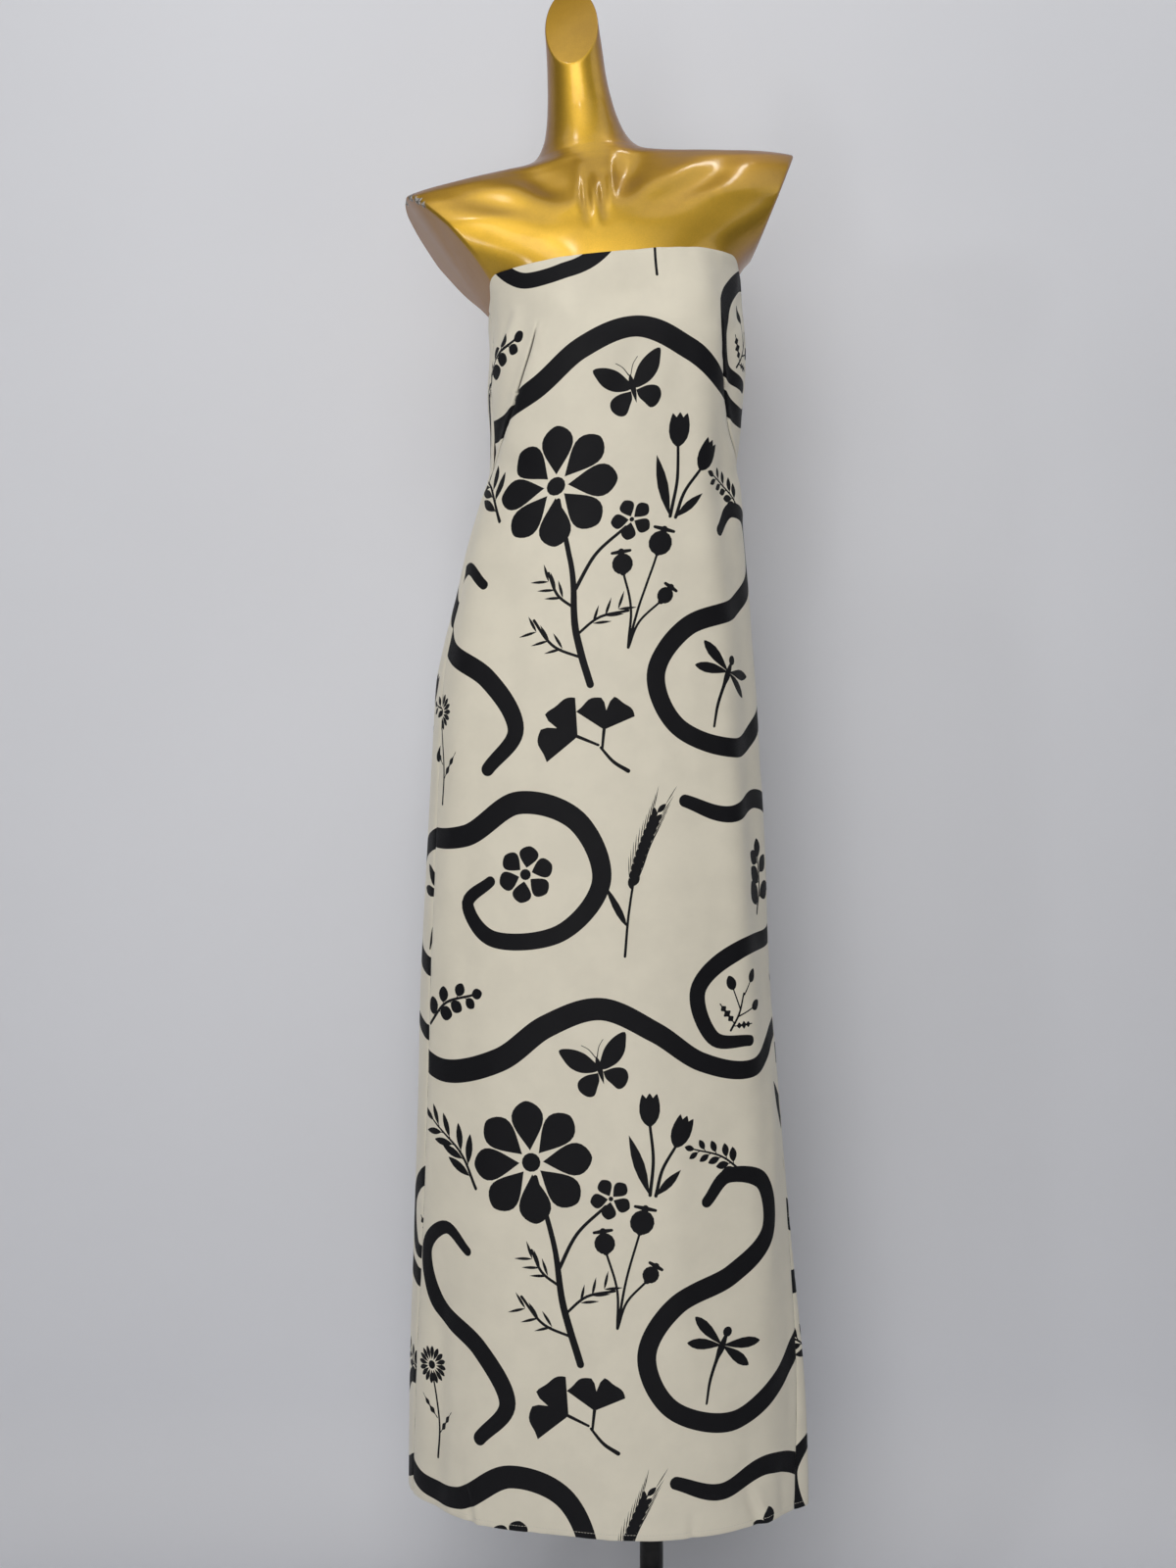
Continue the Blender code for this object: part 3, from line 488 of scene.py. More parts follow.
def moth():
    """A moth with its wings spread, and its feelers."""
    made = [leaf((0, -2.4), (0, 2.0), 0.9, belly=0.6, blunt=0.7)]
    fore = [(0.3, 1.0), (1.6, 2.9), (3.4, 4.1), (5.2, 4.4), (5.0, 3.0), (4.2, 1.3), (2.6, 0.1), (0.4, -0.2)]
    hind = [(0.4, -0.5), (2.3, -0.4), (3.7, -1.0), (3.9, -2.3), (3.0, -3.5), (1.9, -3.7), (1.1, -2.6)]
    hind.append((0.5, -1.6))
    for side in (-1, 1):
        for wing in (fore, hind):
            rim = smooth_path([(side * x, y, 0) for x, y in wing + wing[:1]])[:-1, :2]
            made.append(rim if side < 0 else rim[::-1])
        made.append(ribbon([(side * 0.15, 1.9, 0.16), (side * 0.8, 3.3, 0.12), (side * 1.7, 4.2, 0.10)]))
    return made


def rose_hips():
    """Hips on a forked twig with two toothed leaves."""
    made = [ribbon([(0, 0, 0.4), (0.5, 3, 0.35), (0.2, 6.4, 0.28)])]
    for foot, lean, reach in ((2.4, 48, 3.4), (3.8, -40, 3.6), (6.2, 14, 2.6)):
        start = np.array([0.4, foot])
        end = start + from_angle(lean, reach)
        made.append(ribbon([(*start, 0.26), (*end, 0.22)]))
        base, tip = end - from_angle(lean, 0.2), end + from_angle(lean, 2.3)
        made.append(leaf(base, tip, 1.7, belly=0.45, blunt=0.6, points=13))
    made.append(leaf((0.3, 1.2), (-3.4, 3.6), 1.5, belly=0.5, blunt=0.8, lobes=4))
    made.append(leaf((0.3, 0.8), (3.6, 2.2), 1.3, belly=0.5, blunt=0.8, lobes=4))
    return made


def bellflowers(bells=6):
    """Small bells that hang from an arching stem, above two leaves."""
    arch = smooth_path([(0, 0, 0.45), (0.2, 6, 0.4), (2.2, 10.5, 0.3), (6.4, 11.6, 0.15)])
    made = [ribbon(arch)]
    for k in range(bells):
        foot, _ = along(arch, 0.5 + 0.5 * k / (bells - 1))
        hook = foot + from_angle(150, 0.9)
        size = 1.75 - 0.13 * k
        made.append(ribbon([(*foot, 0.16), (*hook, 0.14)]))
        bell = [(-0.16, 0), (-0.42, -0.35), (-0.46, -0.75), (-0.62, -1), (-0.3, -0.93), (0, -1.05)]
        bell += [(-x, y) for x, y in bell[::-1][1:]]
        made.append(hook + size * np.array(bell))
    made.append(leaf((0, 0.5), (-3.6, 8.8), 2.3, belly=0.45, blunt=0.9))
    made.append(leaf((0.1, 0.5), (3.2, 6.4), 1.9, belly=0.45, blunt=0.9))
    return made


def seed_heads():
    """Three round pods with flat crowns."""
    made = []
    for lean, tall, radius in ((-16, 9.0, 1.25), (6, 11.5, 1.45), (25, 6.5, 1.0)):
        bend = from_angle(lean * 0.5, tall / 2)
        top = from_angle(lean, tall)
        made.append(ribbon([(0, 0, 0.35), (*bend, 0.3), (*top, 0.28)]))
        made.append(disc(top + from_angle(lean, radius * 0.8), radius))
        crown = top + from_angle(lean, radius * 1.95)
        flat = from_angle(lean + 90, radius * 0.85)
        made.append(ribbon([(*(crown - flat), 0.35), (*crown, 0.5), (*(crown + flat), 0.35)], step=0.25))
        made.append(ribbon([(*top, 0.8), (*crown, 0.8)]))
    return made


RIBBON_WIDTH = 0.80  # of the widths that the rows give

# Ribbons that wind between the motifs: x, y and width of the points that each runs through.
RIBBONS = {
    "hill": [
        (-8, 59.6, 2.3), (0, 61.5, 2.5), (7, 58.4, 2.8), (14, 55.8, 3.0), (21, 57.4, 3.0),
        (26, 61.0, 2.9), (31.5, 62.8, 2.8), (37, 60.4, 2.6), (42, 57.2, 2.4), (48, 56.2, 2.3),
        (54, 59.6, 2.3), (62, 61.5, 2.5), (69, 58.4, 2.8),
    ],
    "steps": [
        (42.6, 43.2, 1.5), (45.0, 45.6, 1.9), (49.2, 44.4, 2.3), (50, 39.4, 2.6), (45.5, 35.6, 2.7),
        (39.5, 33.2, 2.6), (36.6, 28.2, 2.4), (39.3, 22.9, 2.3), (46, 21.0, 2.5), (52, 24, 2.8),
        (58, 28.3, 2.8), (64, 28.0, 2.5), (68.6, 23.4, 2.2), (67.6, 17.2, 2.2), (72, 12.4, 2.5),
        (79, 12.0, 2.8), (85, 15.4, 2.9), (91, 13.6, 2.7), (93.5, 7.6, 2.4), (89.5, 2.4, 2.2),
        (82.5, 1.6, 2.1), (79.3, 5.0, 1.9), (82, 7.4, 1.4),
    ],
    "hook": [
        (17.6, 37.6, 1.2), (14.6, 39.6, 1.7), (11.6, 36.8, 2.2), (13.4, 31.6, 2.5), (19.2, 28.0, 2.5),
        (22.6, 22.8, 2.2), (19.6, 18.8, 1.8),
    ],
    "swing": [
        (40, 15.6, 1.6), (44.8, 14.2, 2.1), (50.6, 15.8, 2.5), (56.6, 13.4, 2.6), (58.4, 7.0, 2.4),
        (54.0, 1.6, 2.3), (46.4, 0.4, 2.4), (41.6, -3.4, 2.2), (43.2, -8.4, 1.9), (47.4, -9.0, 1.4),
    ],
}

Motif = namedtuple("Motif", "draw x y turn size")
MOTIFS = [
    Motif(cosmos, 27.5, 27.0, -6, 1.0),
    Motif(fern, 5.2, 28.0, 8, 0.95),
    Motif(lambda: leafy_twig([(0, 0, .45), (0.8, 5, .35), (0.2, 11, .25)], 9, 3.6, 2.3), 57, 32.5, 12, 1.0),
    Motif(dragonfly, 44.4, 28.4, 24, 0.82),
    Motif(barley, 32.6, 0.4, 15, 0.92),
    Motif(tulips, 36.8, 44.2, 8, 0.74),
    Motif(ginkgo, 31.0, 21.2, -30, 0.86),
    Motif(bellflowers, 56.6, 46.6, -6, 0.90),
    Motif(seed_heads, 33.6, 31.0, 6, 0.85),
    Motif(daisy, 13.6, 15.2, -4, 0.62),
    Motif(daisy, 2.6, -3.2, -10, 0.80),
    Motif(
        lambda: leafy_twig([(0, 0, .4), (1.5, 4, .3), (1.2, 9, .2)], 8, 3.4, 1.0, 34),
        18.6, 44.2, -52, 0.95,
    ),
    Motif(
        lambda: leafy_twig([(0, 0, .4), (0.6, 3, .3), (0, 6.5, .25)], 5, 3.2, 2.4, 50, blunt=0.7),
        50.4, 3.8, 4, 0.9,
    ),
    Motif(
        lambda: leafy_twig([(0, 0, .4), (-0.8, 4, .35), (0.3, 8, .3)], 6, 2.2, 1.9, 52, blunt=0.6),
        12.0, -7.6, 58, 0.85,
    ),
    Motif(moth, 31.4, 56.8, -16, 0.66),
    Motif(rose_hips, 2.4, 47.4, 14, 0.92),
    Motif(rose_hips, 45.2, 60.2, 20, 0.62),
    Motif(
        lambda: leafy_twig([(0, 0, .3), (0.5, 3, .26), (-0.2, 6, .2)], 7, 2.0, 0.9, 38),
        9.6, 3.0, -24, 0.9,
    ),
    Motif(
        lambda: leafy_twig([(0, 0, .3), (0.8, 4, .26), (0.2, 8, .2)], 9, 2.0, 1.1, 46),
        46.8, 45.6, -64, 0.8,
    ),
    Motif(lambda: flower_head(np.zeros(2), 6, 0.7, 2.9, 2.0, blunt=0.65), 23.8, 8.2, 10, 1.0),
]


def tile_outlines():
    """Every outline of one repeat of the print."""
    made = [ribbon(np.array(rows) * (1, 1, RIBBON_WIDTH)) for rows in RIBBONS.values()]
    for motif in MOTIFS:
        turn = math.radians(motif.turn)
        spin = np.array([[math.cos(turn), -math.sin(turn)], [math.sin(turn), math.cos(turn)]])
        made += [outline @ spin * motif.size + (motif.x, motif.y) for outline in motif.draw()]
    return made


# --- the dress's flat cloth
def back_middle(height):
    right, left = seam_angles(height)
    return (left - 2 * math.pi + right) / 2


def front_middle(height):
    return np.full(np.shape(height), math.radians(270))


def back_left_span(height):
    return seam_angles(height)[1] - 2 * math.pi, back_middle(height)


def back_right_span(height):
    return back_middle(height), seam_angles(height)[0]


class FlatPanel:
    """A panel's flat cloth: u metres across from its middle line, v the height that it hangs at."""

    STEP = 0.004  # between its rows
    COLUMNS, SAMPLES = 241, 361
    SPARE = 0.04  # of its width, beyond each side

    def __init__(self, panel):
        self.panel = panel
        self.heights = np.arange(HEM_HEIGHT - self.STEP, TOP_FRONT_HEIGHT + 4 * self.STEP, self.STEP)
        start, end = panel.spans(self.heights)
        shares = np.linspace(-self.SPARE, 1 + self.SPARE, self.SAMPLES)
        angles = start[:, None] + (end - start)[:, None] * shares
        points = dress_point(angles, self.heights[:, None], CLOTH)
        steps = np.linalg.norm(np.diff(points, axis=1), axis=2)
        run = np.concatenate([np.zeros((len(steps), 1)), np.cumsum(steps, axis=1)], axis=1)
        run -= np.array([[np.interp(m, a, r)] for m, a, r in zip(panel.middle(self.heights), angles, run)])
        self.starts = np.array([np.interp(s, a, r) for s, a, r in zip(start, angles, run)])
        self.ends = np.array([np.interp(e, a, r) for e, a, r in zip(end, angles, run)])
        self.across = np.linspace(run.min(), run.max(), self.COLUMNS)
        self.angles = np.array([np.interp(self.across, r, a) for r, a in zip(run, angles)])

    def angle(self, u, v):
        row = np.clip((v - self.heights[0]) / self.STEP, 0, len(self.heights) - 1.001)
        column = np.clip((u - self.across[0]) / (self.across[1] - self.across[0]), 0, self.COLUMNS - 1.001)
        r, c = row.astype(int), column.astype(int)
        down, right = row - r, column - c
        low = self.angles[r, c] * (1 - right) + self.angles[r, c + 1] * right
        high = self.angles[r + 1, c] * (1 - right) + self.angles[r + 1, c + 1] * right
        return low * (1 - down) + high * down

    def edges(self, v):
        """Where the panel's two sides lie at each height."""
        return np.interp(v, self.heights, self.starts), np.interp(v, self.heights, self.ends)

    def top(self, u):
        """The height of the top edge at each place across."""
        v = np.full(np.shape(u), TOP_FRONT_HEIGHT)
        for _ in range(8):
            v = top_edge_height(self.angle(u, v))
        return v

    def surface(self, u, v):
        """The dress's outer face there, and its normal."""
        reach = 0.0015

        def at(du, dv):
            return dress_point(self.angle(u + du, v + dv), v + dv, CLOTH)

        normal = np.cross(at(reach, 0) - at(-reach, 0), at(0, reach) - at(0, -reach))
        return at(0, 0), normal / np.linalg.norm(normal, axis=-1, keepdims=True)

    def sides(self, inset=0.0, step=0.003):
        """The outline in flat cloth as four runs of points: hem, end side, top and start side."""
        gap = SEAM_GAP / 2 + inset
        hem = HEM_HEIGHT + inset
        low, high = (edge + turn * gap for edge, turn in zip(self.edges(hem), (1, -1)))
        across = np.linspace(low, high, round((high - low) / step))
        runs = [np.stack([across, np.full(len(across), hem)], axis=1)]
        for edge, turn in ((1, -1), (0, 1)):
            top = TOP_FRONT_HEIGHT
            for _ in range(8):
                top = float(self.top(self.edges(top)[edge] + turn * gap)) - inset
            up = np.linspace(hem, top, round((top - hem) / step))
            runs.append(np.stack([self.edges(up)[edge] + turn * gap, up], axis=1))
        across = np.linspace(runs[1][-1, 0], runs[2][-1, 0], round((runs[1][-1, 0] - runs[2][-1, 0]) / step))
        runs.insert(2, np.stack([across, self.top(across) - inset], axis=1))
        runs[3] = runs[3][::-1]
        return runs


# The two bust darts: the rows of each run from its point down to the side seam. The cloth on the far side
# of a dart was cut turned about that point, so the print doesn't meet along it.
Dart = namedtuple("Dart", "line side")
DARTS = [
    Dart([(-0.0995, 1.422), (-0.1140, 1.376), (-0.1310, 1.338), (-0.1517, 1.304), (-0.1800, 1.270)], -1),
    Dart([(0.1000, 1.416), (0.1101, 1.368), (0.1206, 1.336), (0.1400, 1.303), (0.2000, 1.262)], 1),
]
DART_INTAKE = math.radians(11)
DART_FADE = math.radians(110)  # how far round the dart's point the turn fades out

# Soft creases: each runs from one place of the flat cloth to another, bowed by sag, with a half width and
# a rise off the cloth. Troughs have a negative rise.
Crease = namedtuple("Crease", "u0 v0 u1 v1 sag half_width rise")
FRONT_CREASES = rows_of(Crease, 7, [
    (-138, 1456, -190, 1392, 6, 5.5, -1.8),  # from under the right arm
    (-124, 1456, -178, 1384, 7, 8, 3),
    (-150, 1486, -176, 1440, -3, 4.5, -1.2),
    (16, 1408, -14, 1306, -6, 15, -2.2),  # between the busts
    (40, 1402, 22, 1325, 4, 13, 1.2),
    (150, 1478, 108, 1420, 6, 6.5, 1.4),  # towards the left dart's point
    (162, 1466, 118, 1404, 6, 5, -1.3),
    (180, 1470, 168, 1360, -4, 6, -1.4),
    (-106, 1440, -98, 1398, 1, 6, 1.2),  # the darts' points
    (98, 1436, 96, 1392, -1, 6, 1.2),
    (-70, 1500, -60, 1462, 1, 8, 1.1),  # waves of the top edge
    (12, 1496, 10, 1466, 1, 6, -1),
    (34, 1496, 36, 1470, -1, 7, 1),
    (66, 1490, 68, 1460, 1, 6, -1),
    (112, 1490, 110, 1464, 1, 7, 0.9),
    (-160, 1290, -86, 1262, 6, 11, -1.6),  # drags from the seams at the waist
    (-168, 1262, -108, 1226, 5, 10, 1.3),
    (188, 1284, 120, 1252, -6, 11, -1.5),
    (196, 1246, 140, 1214, -4, 9, 1.2),
    (84, 1500, 110, 1150, -17, 21, 5.5),  # the front turns away to the left side
    (104, 1240, 170, 640, 8.5, 26, 6.8),
    (122, 1415, 150, 1120, -14, 20, -4.2),
    (150, 1230, 208, 600, 9, 22, -4.6),
    (160, 780, 176, 300, 4, 26, 4.5),
    (-150, 1260, -162, 800, 6, 21, 3.6),  # and more gently to the right side
    (-120, 1180, -90, 1020, 8, 16, -1.6),  # long ones down the skirt
    (-60, 1120, -72, 860, -7, 17, 1.4),
    (30, 1060, 44, 760, 8, 19, -1.8),
    (94, 1150, 112, 920, -6, 14, 1.4),
    (150, 1040, 176, 740, 9, 15, -2.2),
    (-150, 940, -142, 640, 6, 14, -1.8),
    (-102, 720, -116, 430, -5, 18, 2),
    (6, 690, -10, 400, 9, 20, -2),
    (86, 640, 104, 330, -8, 18, 2),
    (204, 720, 190, 420, 6, 11, 2.2),
    (60, 420, 48, 190, 4, 16, -1.6),
    (-176, 480, -168, 190, 3, 12, -2),
    (-136, 246, -120, 190, 2, 5, -2.8),  # puckers of the hem
    (-126, 240, -110, 190, 2, 4.8, 2.4),
    (-60, 226, -54, 190, 1, 6, -1.6),
    (20, 230, 26, 190, 2, 6.5, 1.6),
    (108, 224, 112, 190, -1, 5, -2),
    (166, 238, 186, 190, 3, 5, -2.8),
    (176, 240, 198, 190, 3, 5.2, 2.4),
    (216, 256, 222, 190, -2, 6, -1.6),
])
BACK_LEFT_CREASES = rows_of(Crease, 7, [
    (-160, 1440, -70, 1384, 6, 10, -1.8),
    (-10, 1402, -90, 1352, -5, 11, 1.4),
    (-6, 1300, -120, 1276, 8, 9, -2.4),  # folds across the small of the back
    (-10, 1272, -104, 1240, 6, 10, 2.2),
    (-14, 1240, -130, 1222, 4, 9, -1.8),
    (-4, 1098, -18, 1040, 2, 5, 1.6),  # under the end of the zip
    (-12, 1080, -34, 1004, 3, 6, -1.4),
    (-70, 1060, -58, 800, 8, 17, -2),
    (-120, 960, -134, 640, -8, 16, 2.2),
    (-40, 760, -50, 420, 7, 18, 2),
    (-96, 620, -88, 300, 6, 15, -2),
    (-150, 500, -158, 190, 4, 12, -1.8),
    (-26, 236, -30, 190, 1, 5.5, -1.4),
    (-110, 232, -118, 190, 1, 6, 1.4),
])
BACK_RIGHT_CREASES = rows_of(Crease, 7, [
    (150, 1430, 60, 1372, -6, 10, -1.8),
    (12, 1410, 84, 1346, 6, 12, 1.4),
    (6, 1312, 106, 1292, -7, 9.5, -2.2),
    (12, 1282, 126, 1250, -6, 10, 2),
    (8, 1246, 92, 1232, -4, 8.5, -1.8),
    (5, 1092, 22, 1030, 2, 5, 1.5),
    (14, 1072, 40, 990, -3, 6.5, -1.5),
    (60, 1040, 74, 790, -8, 16, -2),
    (118, 900, 106, 610, 7, 17, 2),
    (30, 700, 44, 380, -6, 17, -2),
    (88, 560, 96, 260, 6, 16, 1.8),
    (140, 460, 132, 190, 3, 12, -1.6),
    (50, 230, 54, 190, 1, 5.5, -1.2),
    (112, 234, 106, 190, 1, 6, 1.4),
])

# The panels: where each one's sides and middle line lie, the place of the print, in centimetres, that its
# cloth was cut from at the middle line and the hem, the height of its top edge, its darts and its creases.
Panel = namedtuple("Panel", "spans middle print_x print_y top darts creases")
PANELS = {
    "dress_front": Panel(seam_angles, front_middle, 31, 10, TOP_FRONT_HEIGHT, DARTS, FRONT_CREASES),
    "dress_back_left": Panel(back_left_span, back_middle, 44, 33, TOP_BACK_HEIGHT, [], BACK_LEFT_CREASES),
    "dress_back_right": Panel(back_right_span, back_middle, 17, 33, TOP_BACK_HEIGHT, [], BACK_RIGHT_CREASES),
}

GRID = 0.005  # between the points of a panel's mesh
GRID_ROW = 0.9  # of that, between its rows
CLEAR, WIDE_CLEAR = 0.0018, 0.0022  # the room that the grid's points leave round outlines and seams
EDGE_ROUND = 0.0004
EDGE_ROWS = (0.0009, 0.0022, 0.0042)  # rows of points beside seams and darts
HEM_DEPTH, TOP_TURNING = 0.0085, 0.011
TURNING_STEP = 0.0012  # over which the cloth thickens at a turning
STITCHES_UP = 0.0056  # the hem's stitches, above its fold
PRINT_UNIT = 0.01
WALL, TURNED_WALL = 0.0006, 0.0005  # the cloth as it is built, and what a turning adds


def crease_rise(crease, u, v, ends=0.6):
    """A soft trough or ridge along a bowed line that fades out at its ends, later the smaller ends is."""
    run = math.hypot(crease.u1 - crease.u0, crease.v1 - crease.v0)
    c, s = (crease.u1 - crease.u0) / run, (crease.v1 - crease.v0) / run
    along = (u - crease.u0) * c + (v - crease.v0) * s
    share = np.clip(along / run, 0, 1)
    away = (v - crease.v0) * c - (u - crease.u0) * s - 4 * crease.sag * share * (1 - share)
    past = along - share * run
    return crease.rise * np.sin(np.pi * share) ** ends * np.exp(-(away**2 + past**2) / crease.half_width**2)


def dart_curve(dart):
    return smooth_path(np.array(dart.line), 0.004)


def beyond_dart(dart, u, v):
    """Which places lie on the far side of a dart, and by how much the print turned there."""
    line = dart_curve(dart)
    tip, foot = line[0], line[-1]
    down = math.atan2(foot[1] - tip[1], (foot[0] - tip[0]) * dart.side)
    turn = (np.arctan2(v - tip[1], (u - tip[0]) * dart.side) - down) % (2 * math.pi)
    beside = (u - np.interp(v, line[::-1, 1], line[::-1, 0])) * dart.side > 0
    level = (v < tip[1]) & (v > foot[1])
    beyond = np.where(level, beside, (v >= tip[1]) & (turn < DART_FADE))
    near = np.where(turn > math.pi, 0, turn)
    return beyond, DART_INTAKE * smooth_step(1 - near / DART_FADE)


def print_place(darts, u, v, beyond=None):
    """Where a place of the hanging panel lies on the printed cloth, before the panel's own offset.
    beyond says on which side of each dart it is taken to lie, where its own place doesn't tell."""
    place = np.stack([u, v], axis=-1)
    for k, dart in enumerate(darts):
        own, turn = beyond_dart(dart, u, v)
        turn = np.where(own if beyond is None else beyond[k], turn, 0) * dart.side
        x, y = np.moveaxis(place - np.array(dart.line[0]), -1, 0)
        c, s = np.cos(turn), np.sin(turn)
        place = np.stack([x * c - y * s, x * s + y * c], axis=-1) + np.array(dart.line[0])
    return place


def inside(outline, points):
    """The indices of the points that lie inside a closed outline."""
    near = np.nonzero(((points >= outline.min(0)) & (points <= outline.max(0))).all(axis=1))[0]
    x, y = points[near, 0:1], points[near, 1:2]
    (ax, ay), (bx, by) = outline.T, np.roll(outline, -1, axis=0).T
    turn = (bx - ax) * (y - ay) - (x - ax) * (by - ay)
    winding = ((ay <= y) & (by > y) & (turn > 0)).sum(1) - ((ay > y) & (by <= y) & (turn < 0)).sum(1)
    return near[winding != 0]


def printed_outlines(panel, low, high):
    """The print's outlines, in metres from the panel's middle line and the floor, between two corners."""
    made = []
    repeat = np.array([TILE_WIDTH, TILE_HEIGHT])
    cut = np.array([panel.print_x, panel.print_y])
    for outline in tile_outlines():
        for column in range(-2, 3):
            for row in range(-2, 4):
                placed = (outline + repeat * (column, row) - cut) * PRINT_UNIT + (0, HEM_HEIGHT)
                if (placed.max(0) > low).all() and (placed.min(0) < high).all():
                    made.append(placed)
    return made


def place_on_body(outline, darts, k):
    """An outline of flat cloth as it lies beyond dart k, by repeated correction."""
    beyond = [np.full(len(outline), j == k) for j in range(len(darts))]
    body = outline.copy()
    for _ in range(6):
        body += outline - print_place(darts, body[:, 0], body[:, 1], beyond)
    return body


class Drawing:
    """Points and the lines between them, as a triangulation takes them."""

    def __init__(self):
        self.points, self.edges, self.count = [], [], 0

    def add(self, line, closed, keep=None):
        """A run of points with the lines along it: all of them, or those that touch a kept point."""
        ends = np.stack([np.arange(len(line)), np.roll(np.arange(len(line)), -1)], axis=1)
        ends = ends if closed else ends[:-1]
        if keep is not None:
            ends = ends[keep[ends].any(axis=1)]
        used = np.unique(ends)
        back = np.zeros(len(line), int)
        back[used] = np.arange(len(used))
        self.points.append(line[used])
        self.edges.append(back[ends] + self.count)
        self.count += len(used)

    def triangles(self, loose, sides):
        """The points and triangles between the lines, with loose points added, inside the sides."""
        points = [Vector(p) for p in np.vstack(self.points + [loose])]
        net = delaunay_2d_cdt(points, np.vstack(self.edges).tolist(), [], 0, 1e-6)
        points, triangles = np.array([tuple(p) for p in net[0]]), np.array(net[2])
        triangles = triangles[within(sides, points[triangles].mean(axis=1), 0.0)]
        used, triangles = np.unique(triangles, return_inverse=True)
        return points[used], triangles.reshape(-1, 3)


def rows_beside(lines):
    """Points in rows along both sides of each line."""
    rows = []
    for line in lines:
        for distance in EDGE_ROWS:
            rows += [line + sideways(line) * distance, line - sideways(line) * distance]
    return np.vstack(rows)


def draw_print(drawing, outlines, darts, low, high):
    """The print's outlines where they show: once as they lie, and once as they lie beyond each dart."""
    margin = 0.004
    for outline in outlines:
        versions = [(outline, None)] + [(place_on_body(outline, darts, k), k) for k in range(len(darts))]
        for placed, k in versions:
            shown = ((placed > low - margin) & (placed < high + margin)).all(axis=1)
            for j, dart in enumerate(darts):
                beyond = beyond_dart(dart, placed[:, 0], placed[:, 1])[0]
                shown &= beyond if j == k else ~beyond
            if shown.any():
                drawing.add(placed, True, shown)


def panel_net(flat):
    """The panel's flat points and triangles, cut along its outline, its darts and the print's outlines."""
    panel = flat.panel
    sides = flat.sides(EDGE_ROUND)
    rim = np.vstack([side[:-1] for side in sides])
    low, high = rim.min(0), rim.max(0)
    drawing = Drawing()
    drawing.add(rim, True)
    outlines = printed_outlines(panel, low - 0.05, high + 0.05)
    draw_print(drawing, outlines, panel.darts, low, high)
    taken = cells_around(np.vstack(drawing.points), CLEAR)
    lines = [dart_curve(dart) for dart in panel.darts]
    for line in lines:
        drawing.add(line, False)

    beside = rows_beside(lines + sides)
    beside = beside[[key not in taken for key in cell_keys(beside, CLEAR)]]
    wide = cells_around(np.vstack([beside] + lines), WIDE_CLEAR)
    rows = np.arange(low[1], high[1], GRID * GRID_ROW)
    grid = np.stack(np.meshgrid(np.arange(low[0], high[0], GRID), rows), axis=-1)
    grid[1::2, :, 0] += GRID / 2
    grid = grid.reshape(-1, 2)
    keys = zip(cell_keys(grid, CLEAR), cell_keys(grid, WIDE_CLEAR))
    loose = np.vstack([beside, grid[[near not in taken and far not in wide for near, far in keys]]])
    loose = loose[within(sides, loose, 0.0003)]
    return *drawing.triangles(loose, sides), outlines


def cell_keys(points, size):
    return list(map(tuple, np.floor(points / size).astype(int)))


def cells_around(points, size):
    """The grid cells that hold the points, with their neighbours."""
    cells = np.unique(np.floor(points / size).astype(int), axis=0)
    return {(x + i, y + j) for x, y in cells.tolist() for i in (-1, 0, 1) for j in (-1, 0, 1)}


def within(sides, points, margin):
    """Which flat places lie inside an outline given as its four sides."""
    hem, end, top, start = sides
    u, v = points.T
    left = np.interp(v, start[::-1, 1], start[::-1, 0])
    right = np.interp(v, end[:, 1], end[:, 0])
    low = np.interp(u, hem[:, 0], hem[:, 1])
    high = np.interp(u, top[::-1, 0], top[::-1, 1])
    return (u > left + margin) & (u < right - margin) & (v > low + margin) & (v < high - margin)


def rim_loop(triangles):
    """The border of a triangulation in order, and the triangle that each of its steps belongs to."""
    owner = {}
    for t, (a, b, c) in enumerate(triangles.tolist()):
        owner[a, b] = owner[b, c] = owner[c, a] = t
    step = {a: b for a, b in owner if (b, a) not in owner}
    loop = [min(step)]
    while step[loop[-1]] != loop[0]:
        loop.append(step[loop[-1]])
    if len(loop) != len(step):
        raise RuntimeError("the panel's border isn't one loop")
    return np.array(loop), [owner[a, step[a]] for a in loop]


def seam_waves(v, phase):
    """The uneven puckering that a sewn seam has along its length."""
    wave = np.sin(v / 0.0051 + phase) + 0.7 * np.sin(v / 0.0083 + 2.3 * phase)
    wave = wave + 0.5 * np.sin(v / 0.0137 + phase**2)
    return wave * (0.5 + 0.5 * np.sin(v / 0.061 + 1.7 * phase))


# How far a feature lifts the cloth, and the half width over which it does.
Lift = namedtuple("Lift", "rise half_width")
SEAM_GROOVE, SEAM_PUCKER = Lift(-0.0007, 0.0016), Lift(0.00016, 0.010)
SEAM_RIDGE, SEAM_RIDGE_IN = Lift(0.00022, 0.004), 0.006  # beside the seam, over its turning
DART_GROOVE, DART_DIP = Lift(-0.0044, 0.0011), Lift(-0.0008, 0.0040)
DART_LIFT_FRONT, DART_LIFT_BEYOND, DART_LIFT_WIDTH = 0.0015, -0.0022, 0.013
STITCH_GROOVE = Lift(-0.00016, 0.0014)
HEM_PUCKER, TOP_PUCKER = Lift(0.00012, 0.016), Lift(0.00008, 0.012)


def lifted(lift, away):
    return lift.rise * bell(away, lift.half_width)


def distance_to(line, u, v):
    """From each flat place to a run of points."""
    gap = np.full(u.shape, 1.0)
    for a, b in zip(line[:-1], line[1:]):
        run = b - a
        share = np.clip(((u - a[0]) * run[0] + (v - a[1]) * run[1]) / (run @ run), 0, 1)
        gap = np.minimum(gap, np.hypot(u - a[0] - run[0] * share, v - a[1] - run[1] * share))
    return gap


